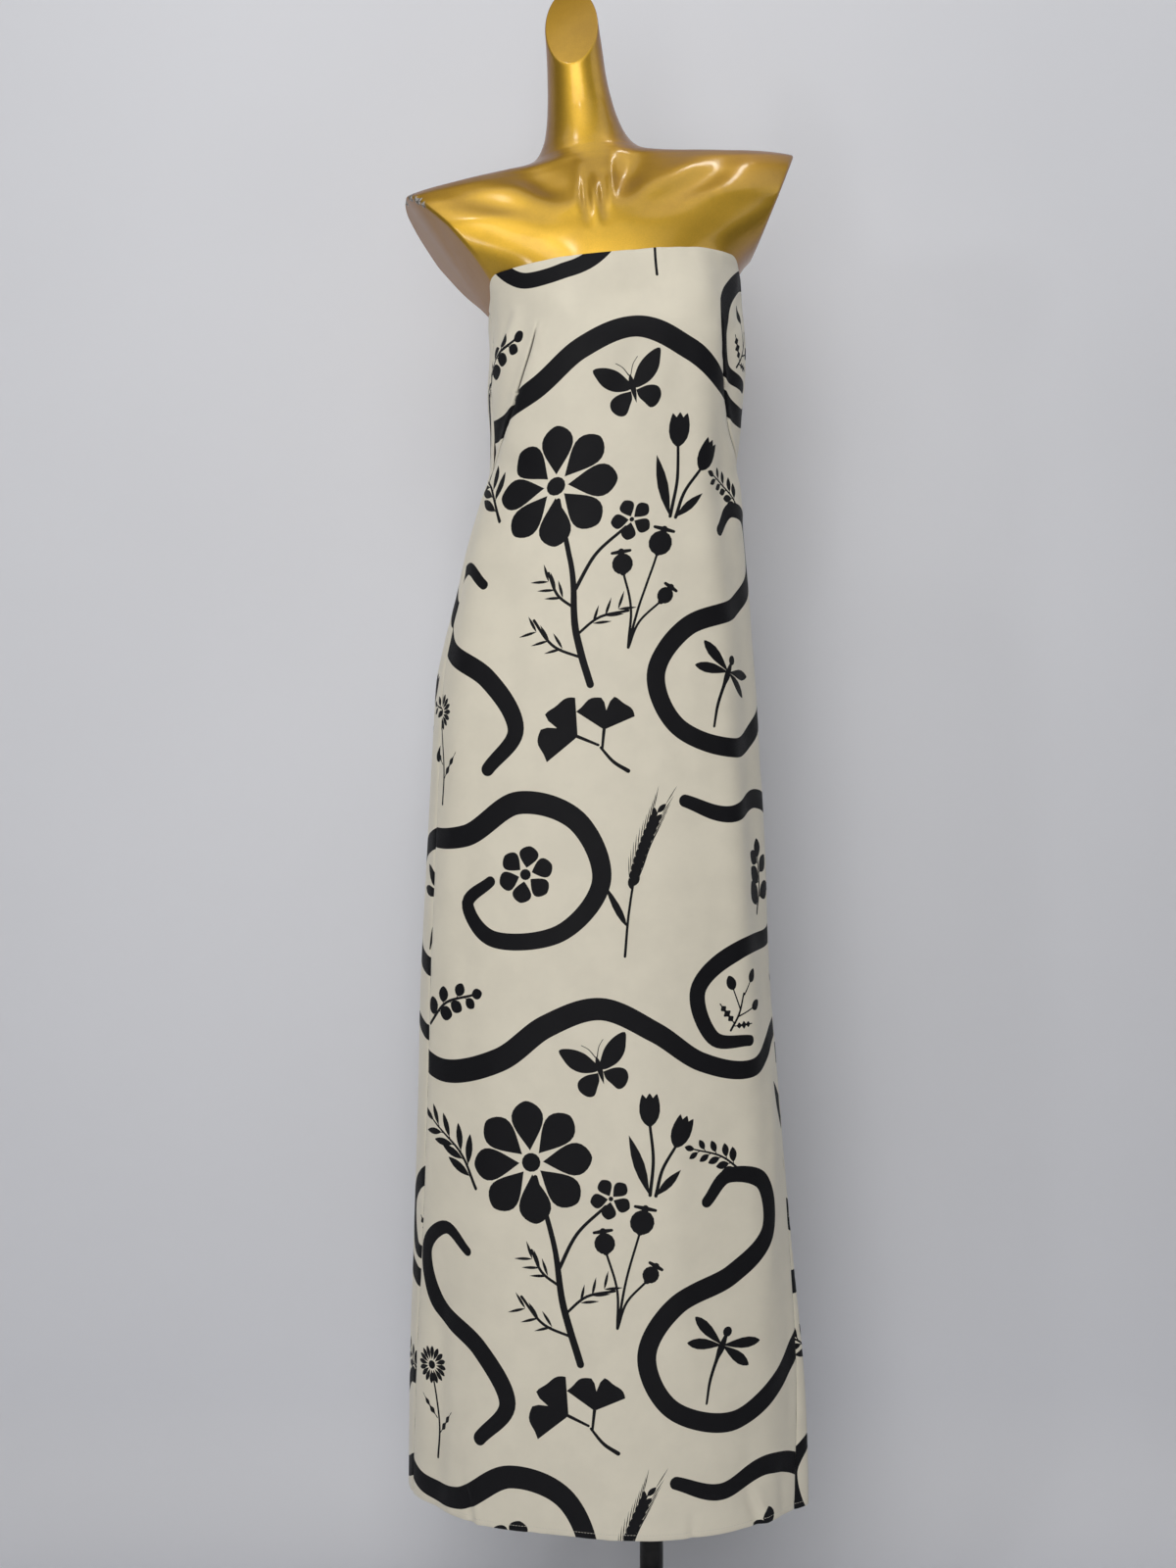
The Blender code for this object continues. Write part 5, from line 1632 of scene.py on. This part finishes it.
def build_slider(metal):
    """The slider with its bridge, and the tab that hangs from it."""
    place = zip_axes()
    lying = Matrix.Rotation(math.radians(90), 4, "X")
    half, tall = SLIDER_WIDTH / 2, SLIDER_HEIGHT / 2
    body = mirrored(
        arc((half - SLIDER_CORNER, tall - SLIDER_CORNER), SLIDER_CORNER, 90, 0)
        + [(half - 0.0001, 0.0016), (half - 0.0007, -0.0010), (half - 0.0012, -0.0030)]
        + arc((half - 0.0024, SLIDER_FOOT_CORNER - tall), SLIDER_FOOT_CORNER, 0, -90)
    )
    middle = Matrix.Translation((0, SLIDER_THICKNESS / 2, 0))
    slider = plate("slider_plate", [body[::-1]], SLIDER_THICKNESS, 0.00035, metal, place @ middle @ lying)
    show_as(slider, "zip_metal", "zip_slider")

    side = BRIDGE_EYE / 2 + BRIDGE_WALL
    strap = mirrored(arc((0, AXIS_OUT), side, 90, 0, 12) + [(side, SLIDER_THICKNESS - BRIDGE_SUNK)])
    eye = arc((0, AXIS_OUT), BRIDGE_EYE / 2, 0, 345, 24)
    upright = Matrix.Rotation(math.radians(-90), 4, "Y")
    bridge = plate("slider_bridge", [strap[::-1], eye], BRIDGE_WIDTH, 0.0003, metal, place @ upright)
    show_as(bridge, "zip_metal")

    half, top, foot = TAB_WIDTH / 2, TAB_BAR / 2, TAB_BAR / 2 - TAB_LENGTH
    outline = mirrored(
        arc((half - TAB_CORNER, top - TAB_CORNER), TAB_CORNER, 90, 0)
        + [(half, -TAB_SLOT), (half - 0.0004, -0.0070), (half - 0.0009, -0.0100), (half - 0.0010, -0.0130)]
        + [(half - 0.0007, -0.0160)]
        + arc((0, foot + half), half, 0, -90, 12)
    )
    inner = half - TAB_LEG
    slot = mirrored(
        [(inner - 0.0002, -TAB_BAR / 2), (inner, -TAB_BAR / 2 - 0.0002)]
        + arc((inner - SLOT_CORNER, SLOT_CORNER - TAB_BAR / 2 - TAB_SLOT), SLOT_CORNER, 0, -90, 6)
    )
    hole = arc((0, foot + half), TAB_HOLE_RADIUS, 0, 345, 24)
    hangs_plumb = math.atan2(-place.col[1].z, place.col[2].z)
    hinge = place @ Matrix.Translation((0, AXIS_OUT, 0)) @ Matrix.Rotation(hangs_plumb, 4, "X")
    tab = plate("pull_tab_plate", [outline[::-1], slot, hole], TAB_BAR, 0.00025, metal, hinge @ lying)
    show_as(tab, "zip_metal", "zip_pull", body=PULL_BODY)


# --- materials
THREAD_SPACING = 0.00045  # of the weave
PAINTED_SHADE_REACH = 0.006  # how near two faces are for the painted shade that darkens the slit between them
PLIES = 14000.0  # radians of twist to a metre of thread


def tint(colour, share):
    return tuple(min(1.0, c * share) for c in colour)


def weave_group():
    """A fine weave: its height, and how it mottles the cloth."""
    inputs = [("Place", "Vector"), ("Threads", "Float", 1700.0)]
    group = NodeGroup("fine weave", "ShaderNodeTree", inputs, [("Height", "Float"), ("Mottle", "Float")])
    place = group.given["Place"]
    apart = group.new("ShaderNodeSeparateXYZ", {0: place}, None)
    waves = []
    for axis, phase in (("X", 0.0), ("Y", math.pi / 2)):
        turn = group.math("MULTIPLY", apart[axis], group.given["Threads"])
        waves.append(group.math("SINE", group.math("ADD", turn, phase)))
    slub = group.math("MULTIPLY", group.noise(place, 420.0, 2.0), 1.6)
    height = group.math("ADD", group.math("MULTIPLY", *waves), slub)
    return group.finished(Height=height, Mottle=group.noise(place, 22.0, 4.0, 0.6))


def wear_group():
    """Wear of painted surfaces: scuffs and a fine grain, as masks."""
    inputs = [("Place", "Vector"), ("Scale", "Float", 1.0)]
    group = NodeGroup("paint wear", "ShaderNodeTree", inputs, [("Scuffs", "Float"), ("Grain", "Float")])
    place = group.scaled(group.given["Place"], group.given["Scale"])
    scuffs = group.ramp(group.noise(place, 9.0, 5.0, 0.62), 0.42, 0.68)
    return group.finished(Scuffs=scuffs, Grain=group.noise(place, 900.0, 2.0))


def new_material(name, make, *values):
    """A material whose Principled inputs are what make gives for its nodes and the values."""
    made = bpy.data.materials.new(name)
    made.use_nodes = True
    nodes = Nodes(made.node_tree)
    nodes.fill(made.node_tree.nodes["Principled BSDF"], make(nodes, *values))
    return made


def cloth_look(nodes, weave, colour, roughness, sheen, mottle, shine=0.35, own_map=True):
    """Printed or bare cloth: the same weave under its own colour."""
    if own_map:
        place = nodes.new("ShaderNodeUVMap", uv_map="cloth")
    else:
        upright = {"Vector": nodes.object_place(), "Rotation": (math.radians(90), 0, 0)}
        place = nodes.new("ShaderNodeMapping", upright)
    woven = {"Place": place, "Threads": 2 * math.pi / THREAD_SPACING}
    woven = nodes.new("ShaderNodeGroup", woven, None, node_tree=weave)
    tone = nodes.ramp(woven["Mottle"], 0.3, 0.7)
    tone = nodes.mixed(tone, tint(colour, 1 - mottle), tint(colour, 1 + mottle * 0.6))
    # Painted shade: the cloth's colour darkens where other faces lie close, as in seams and darts.
    painted_slit_shade = nodes.new("ShaderNodeAmbientOcclusion", {"Distance": PAINTED_SHADE_REACH}, "AO", samples=8)
    return {
        "Base Color": nodes.scaled(tone, nodes.ramp(painted_slit_shade, 0.40, 0.88, 0.12, 1.0)),  # painted shade, dark in seams and darts
        "Roughness": nodes.ramp(woven["Mottle"], 0.3, 0.7, roughness - 0.04, roughness + 0.05),
        "Sheen Weight": sheen,
        "Sheen Roughness": 0.45,
        "Specular IOR Level": shine,
        "Normal": nodes.bump(woven["Height"], 0.35, 0.00008),
    }


def near_spot(nodes, spot, radius, ragged):
    """A ragged mask round a place."""
    place = nodes.object_place()
    away = nodes.new("ShaderNodeVectorMath", {0: place, 1: spot}, "Value", operation="DISTANCE")
    rough = nodes.math("MULTIPLY", nodes.noise(place, 160.0, 5.0, 0.7), ragged)
    edge = radius + ragged * 0.5
    return nodes.ramp(nodes.math("ADD", away, rough), edge, edge - 0.0012)


def gold_look(nodes, wear, colour, roughness, coat, chips=(), metallic=0.92):
    """Metallic gold paint under clear lacquer, chipped down to grey plaster at its worst corner."""
    worn = nodes.worn(wear)
    paint = nodes.mixed(worn["Scuffs"], colour, tint(colour, 0.82))
    paint = nodes.scaled(paint, nodes.ramp(worn["Grain"], 0.35, 0.65, 0.93, 1.0))
    # Painted shade: where the surface turns away from the camera the paint deepens to a dark amber.
    glance = nodes.new("ShaderNodeLayerWeight", {"Blend": 0.5}, "Facing")
    painted_rim_shade = tuple(c * share for c, share in zip(colour, (0.34, 0.22, 0.10)))
    paint = nodes.mixed(nodes.ramp(glance, 0.15, 0.80), paint, painted_rim_shade)
    rough = nodes.ramp(worn["Scuffs"], 0.0, 1.0, roughness, roughness + 0.06)
    height = nodes.math("MULTIPLY", worn["Grain"], 0.4)
    if chips:
        chip, *others = [near_spot(nodes, spot, radius, 0.016) for spot, radius in chips]
        for other in others:
            chip = nodes.math("MAXIMUM", chip, other)
        speck = nodes.noise(nodes.object_place(), 380.0, 4.0, 0.7)
        plaster = nodes.mixed(nodes.ramp(speck, 0.4, 0.6), (0.62, 0.60, 0.56), (0.10, 0.09, 0.08))
        paint = nodes.mixed(chip, paint, plaster)
        metallic = nodes.math("SUBTRACT", metallic, nodes.math("MULTIPLY", chip, metallic))
        coat = nodes.math("SUBTRACT", coat, nodes.math("MULTIPLY", chip, coat))
        rough = nodes.math("MAXIMUM", rough, nodes.math("MULTIPLY", chip, 0.8))
        dent = nodes.math("MULTIPLY", chip, nodes.math("ADD", speck, 0.6))
        height = nodes.math("SUBTRACT", height, nodes.math("MULTIPLY", dent, 9.0))
    return {
        "Base Color": paint,
        "Roughness": rough,
        "Metallic": metallic,
        "Coat Weight": coat,
        "Coat Roughness": 0.15,
        "Coat IOR": 1.5,
        "Normal": nodes.bump(height, 0.10, 0.0002),
    }


def rubbed_look(nodes, wear, scale, colour, scuffed, roughness, grain, more):
    """Satin paint or plated metal, of another colour and rougher where it is scuffed."""
    worn = nodes.worn(wear, scale)
    return {
        "Base Color": nodes.mixed(worn["Scuffs"], colour, scuffed),
        "Roughness": nodes.ramp(worn["Scuffs"], 0.0, 1.0, *roughness),
        "Normal": nodes.bump(worn["Grain"], *grain),
        **more,
    }


def thread_look(nodes, colour):
    """Twisted thread: fine slanting plies, with painted shade in the grooves between them."""
    place = nodes.new("ShaderNodeSeparateXYZ", {0: nodes.object_place()}, None)
    ply = nodes.math("SINE", nodes.math("MULTIPLY", nodes.math("ADD", place["X"], place["Z"]), PLIES))
    return {
        "Base Color": nodes.mixed(nodes.ramp(ply, -1.0, 1.0), tint(colour, 0.8), colour),
        "Roughness": nodes.ramp(ply, -1.0, 1.0, 0.7, 0.5),
        "Normal": nodes.bump(ply, 0.3, 0.00005),
    }


def paper_look(nodes, colour):
    """Pale paper with a faint unevenness."""
    tone = nodes.ramp(nodes.noise(nodes.object_place(), 1.3, 2.0), 0.3, 0.7)
    return {
        "Base Color": nodes.mixed(tone, colour, tint(colour, 0.96)),
        "Roughness": 0.85,
        "Specular IOR Level": 0.2,
    }


def finishes(props):
    """Every material of the dress, the form and the stand."""
    weave, wear = weave_group(), wear_group()
    cream, ink, painted, ends, black, metal, thread = (
        tuple(getattr(props, name + "_colour"))
        for name in ("cloth", "ink", "gold", "end", "black", "metal", "thread")
    )
    seen_through = tuple(0.62 * a + 0.38 * b for a, b in zip(cream, ink))
    scuffed_black = tuple(c + 0.018 for c in black)
    rows = {
        "cloth": ("cream cloth", cloth_look, weave, cream, 0.62, 0.25, 0.035),
        "ink": ("black print", cloth_look, weave, ink, 0.62, 0.0, 0.10, 0.18),
        "reverse": ("print from behind", cloth_look, weave, seen_through, 0.66, 0.2, 0.05),
        "tape": ("zip tape weave", cloth_look, weave, tint(cream, 0.95), 0.7, 0.1, 0.04, 0.3, False),
        "gold": ("gold paint", gold_look, wear, painted, props.gold_roughness, props.lacquer, CHIPS),
        "neck_end": ("gold paint of the neck's end", gold_look, wear, painted, 0.40, 0.4),
        "arm_end": ("paint of the arms' ends", gold_look, wear, ends, 0.45, 0.3, CHIPS, 0.4),
        "black": (
            "black paint", rubbed_look, wear, 2.0, black, scuffed_black, (0.32, 0.52), (0.12, 0.0002),
            {"Specular IOR Level": 0.22},
        ),
        "metal": (
            "zip metal", rubbed_look, wear, 30.0, metal, tint(metal, 0.7), (0.22, 0.42), (0.08, 0.0001),
            {"Metallic": 1.0},
        ),
        "thread": ("hem thread", thread_look, thread),
    }
    return {key: new_material(*row) for key, row in rows.items()}


# --- stage
CAMERA_PLACE = (-0.068, -1.70, 0.953)
CAMERA_LENS, CAMERA_SENSOR = 36.405, 36
FLOOR_BACK, SWEEP_RADIUS = 0.20, 0.16
FLOOR_FRONT, FLOOR_HALF_WIDTH, WALL_TOP = -4.0, 4.0, 4.2
ROOM_COLOUR = (0.93, 0.96, 1.0, 1.0)
ROOM_SEEN = 0.55  # how bright the empty room looks past the floor, from behind

Lamp = namedtuple("Lamp", "name x y z width height aim_x aim_z watts colour", defaults=[(1.0, 1.0, 1.0)])
WARM = (1.0, 0.98, 0.95)
LAMPS = [
    Lamp("high key", -0.40, -2.30, 2.35, 1.70, 1.30, -0.05, 1.00, 22.5, WARM),
    Lamp("low key", -0.38, -2.50, 1.00, 1.20, 1.40, -0.05, 1.00, 16.5, WARM),
    Lamp("right low", 0.45, -2.50, 1.10, 0.80, 1.00, -0.05, 1.00, 0.5, WARM),
    Lamp("ceiling", 0.00, -0.45, 2.95, 3.00, 0.60, -0.05, 1.00, 5.0),
    Lamp("front ceiling", -0.10, -1.45, 2.90, 2.20, 0.60, 0.00, 1.20, 2.0),
    Lamp("right panel", 1.50, -0.30, 2.30, 0.90, 0.90, 0.10, 1.55, 2.5),
    Lamp("left lamp", -1.25, -1.40, 1.62, 0.14, 0.20, -0.18, 1.51, 2.0),
    Lamp("left bulb", -0.75, -0.80, 2.90, 0.18, 0.14, -0.16, 1.53, 1.7),
    Lamp("front bulb", -0.29, -1.36, 2.62, 0.09, 0.05, -0.08, 1.49, 0.8),
    Lamp("right tube", 0.52, -0.06, 3.20, 0.30, 0.05, 0.08, 1.59, 1.3),
]


def see_through_from_behind(tree):
    """Lets a camera behind the wall look through it, while light still stops at it."""
    nodes = Nodes(tree)
    backing = nodes.new("ShaderNodeNewGeometry", out="Backfacing")
    behind = nodes.math("MULTIPLY", backing, nodes.new("ShaderNodeLightPath", out="Is Camera Ray"))
    paper = tree.nodes["Principled BSDF"].outputs[0]
    either = {"Fac": behind, 1: paper, 2: nodes.new("ShaderNodeBsdfTransparent")}
    nodes.fill(tree.nodes["Material Output"], {"Surface": nodes.new("ShaderNodeMixShader", either)})


def build_sweep(colour):
    """A pale floor that sweeps up into a wall."""
    profile = [(FLOOR_FRONT, 0.0)]
    for turn in np.linspace(0, math.pi / 2, 25):
        profile.append((FLOOR_BACK + SWEEP_RADIUS * math.sin(turn), SWEEP_RADIUS * (1 - math.cos(turn))))
    profile.append((FLOOR_BACK + SWEEP_RADIUS, WALL_TOP))
    points = [(x, y, z) for x in (-FLOOR_HALF_WIDTH, FLOOR_HALF_WIDTH) for y, z in profile]
    count = len(profile)
    faces = [(i, i + count, i + count + 1, i + 1) for i in range(count - 1)]
    mesh = new_mesh("pale_sweep", points, [], faces)
    mesh.shade_smooth()
    paper = new_material("pale paper", paper_look, colour)
    see_through_from_behind(paper.node_tree)
    mesh.materials.append(paper)
    new_object("pale_sweep", mesh)


def build_room(light):
    """The even light of the room, and how bright it looks where the camera sees it."""
    world = bpy.data.worlds.new("studio")
    world.use_nodes = True
    nodes = Nodes(world.node_tree)
    seen = nodes.new("ShaderNodeLightPath", out="Is Camera Ray")
    strength = nodes.new("ShaderNodeMapRange", {"Value": seen, "To Min": light, "To Max": ROOM_SEEN})
    nodes.fill(world.node_tree.nodes["Background"], {"Color": ROOM_COLOUR, "Strength": strength})
    bpy.context.scene.world = world


def build_lamps(share):
    for lamp in LAMPS:
        data = bpy.data.lights.new(lamp.name, "AREA")
        data.shape = "RECTANGLE"
        data.size, data.size_y = lamp.width, lamp.height
        data.energy = lamp.watts * share
        data.color = lamp.colour
        light = new_object(lamp.name, data)
        light.location = (lamp.x, lamp.y, lamp.z)
        aim = Vector((lamp.aim_x, 0.0, lamp.aim_z))
        light.rotation_euler = (aim - light.location).to_track_quat("-Z", "Y").to_euler()
        light.visible_camera = False


def build_camera():
    """A level camera in front."""
    data = bpy.data.cameras.new("camera")
    data.lens, data.sensor_width, data.clip_start = CAMERA_LENS, CAMERA_SENSOR, 0.01
    camera = new_object("camera", data)
    camera.location = CAMERA_PLACE
    camera.rotation_euler = (math.radians(90), 0, 0)
    bpy.context.scene.camera = camera
    bpy.context.scene.view_settings.view_transform = "Standard"


# --- the add-on
def colour_of(name, description, default):
    return bpy.props.FloatVectorProperty(
        name=name, description=description, size=3, subtype="COLOR", default=default, min=0, max=1
    )


def length_of(name, description, default):
    return bpy.props.FloatProperty(name=name, description=description, default=default, unit="LENGTH", min=0)


def amount_of(name, description, default, **limits):
    return bpy.props.FloatProperty(name=name, description=description, default=default, min=0, **limits)


class MaxiDressLooks(bpy.types.PropertyGroup):
    """The colours, sizes and lights that a user would change"""

    cloth_colour: colour_of("Cloth", "Colour of the bare cloth", (0.80, 0.75, 0.62))
    ink_colour: colour_of("Ink", "Colour of the print", (0.0055, 0.0056, 0.0075))
    gold_colour: colour_of("Gold", "Colour of the form's paint", (0.82, 0.50, 0.055))
    end_colour: colour_of("Arm ends", "Colour of the arms' flat ends", (0.33, 0.27, 0.155))
    black_colour: colour_of("Stand", "Colour of the stand's paint", (0.007, 0.007, 0.008))
    metal_colour: colour_of("Zip metal", "Colour of the slider", (0.62, 0.60, 0.56))
    thread_colour: colour_of("Thread", "Colour of the stitches", (0.80, 0.76, 0.66))
    paper_colour: colour_of("Backdrop", "Colour of floor and wall", (0.82, 0.835, 0.885))
    stitch_length: length_of("Stitch", "Length of one stitch", 0.0031)
    thread_width: length_of("Thread width", "Thickness of the thread", 0.00045)
    gold_roughness: amount_of("Gold roughness", "Roughness under the lacquer", 0.45, max=1)
    lacquer: amount_of("Lacquer", "Weight of the clear coat", 0.55, max=1)
    room_light: amount_of("Room light", "Strength of the even light", 0.02)
    lamp_light: amount_of("Lamps", "Scales all the lamps", 1.0)


MADE = {}  # what more than one operator needs


def made_once(make, *values):
    if make not in MADE:
        MADE[make] = make(*values)
    return MADE[make]


def looks(context):
    return made_once(finishes, context.scene.maxi_dress)


def flat_panels():
    """The flat cloth of every panel."""
    return {name: FlatPanel(panel) for name, panel in PANELS.items()}


class DRESS_OT_stand(bpy.types.Operator):
    """Turn the pole, its flange and its base"""

    bl_idname = "maxi_dress.stand"
    bl_label = "Stand"

    def execute(self, context):
        build_stand(looks(context)["black"])
        return {"FINISHED"}


class DRESS_OT_form(bpy.types.Operator):
    """Build the lacquered display form"""

    bl_idname = "maxi_dress.form"
    bl_label = "Display form"

    def execute(self, context):
        build_form([looks(context)[name] for name in ("gold", "arm_end", "neck_end")])
        return {"FINISHED"}


class DRESS_OT_dress(bpy.types.Operator):
    """Cut, print and hang the three panels of the dress"""

    bl_idname = "maxi_dress.dress"
    bl_label = "Dress"

    def execute(self, context):
        finish = [looks(context)[name] for name in ("cloth", "ink", "reverse")]
        for name, flat in made_once(flat_panels).items():
            made = build_panel(name, flat, finish)
            show_as(made, "dress_cloth", name)
            widths = (flat.ends - flat.starts)[flat.heights < TOP_BACK_HEIGHT]
            length = flat.panel.top - HEM_HEIGHT
            area = float(widths.mean() * length)
            flat_size = (float(widths.max()), length)
            area = min(area, flat_size[0] * length)
        return {"FINISHED"}


class DRESS_OT_stitches(bpy.types.Operator):
    """Sew the hem and the zip"""

    bl_idname = "maxi_dress.stitches"
    bl_label = "Stitches"

    def execute(self, context):
        flats, tree = made_once(flat_panels), made_once(bars_tree)
        build_stitches(flats, tree, looks(context)["thread"], context.scene.maxi_dress)
        return {"FINISHED"}


class DRESS_OT_zip(bpy.types.Operator):
    """Make the zip's coil, slider and pull tab, and finish its tapes"""

    bl_idname = "maxi_dress.zip"
    bl_label = "Zip"

    def execute(self, context):
        tape = frame["nodes"]["zip_tape"].data.materials
        tape.clear()
        tape.append(looks(context)["tape"])
        build_coil(made_once(bars_tree), looks(context)["tape"])
        build_slider(looks(context)["metal"])
        return {"FINISHED"}


class DRESS_OT_stage(bpy.types.Operator):
    """Set up floor, wall, lamps and camera"""

    bl_idname = "maxi_dress.stage"
    bl_label = "Stage"

    def execute(self, context):
        props = context.scene.maxi_dress
        build_sweep(tuple(props.paper_colour))
        build_room(props.room_light)
        build_lamps(props.lamp_light)
        build_camera()
        return {"FINISHED"}


class DRESS_PT_panel(bpy.types.Panel):
    """The steps and values of the dress"""

    bl_idname = "DRESS_PT_panel"
    bl_label = "Maxi dress"
    bl_space_type = "VIEW_3D"
    bl_region_type = "UI"
    bl_category = "Maxi dress"

    def draw(self, context):
        for step in STEPS:
            self.layout.operator(step.bl_idname)
        for name in MaxiDressLooks.__annotations__:
            self.layout.prop(context.scene.maxi_dress, name)


STEPS = [DRESS_OT_stand, DRESS_OT_form, DRESS_OT_dress, DRESS_OT_stitches, DRESS_OT_zip, DRESS_OT_stage]
CLASSES = [MaxiDressLooks] + STEPS + [DRESS_PT_panel]


def register():
    for each in CLASSES:
        bpy.utils.register_class(each)
    bpy.types.Scene.maxi_dress = bpy.props.PointerProperty(type=MaxiDressLooks)


def unregister():
    del bpy.types.Scene.maxi_dress
    for each in reversed(CLASSES):
        bpy.utils.unregister_class(each)


def main():
    register()
    for step in STEPS:
        getattr(bpy.ops.maxi_dress, step.bl_idname.split(".")[1])()


if __name__ == "__main__":
    main()
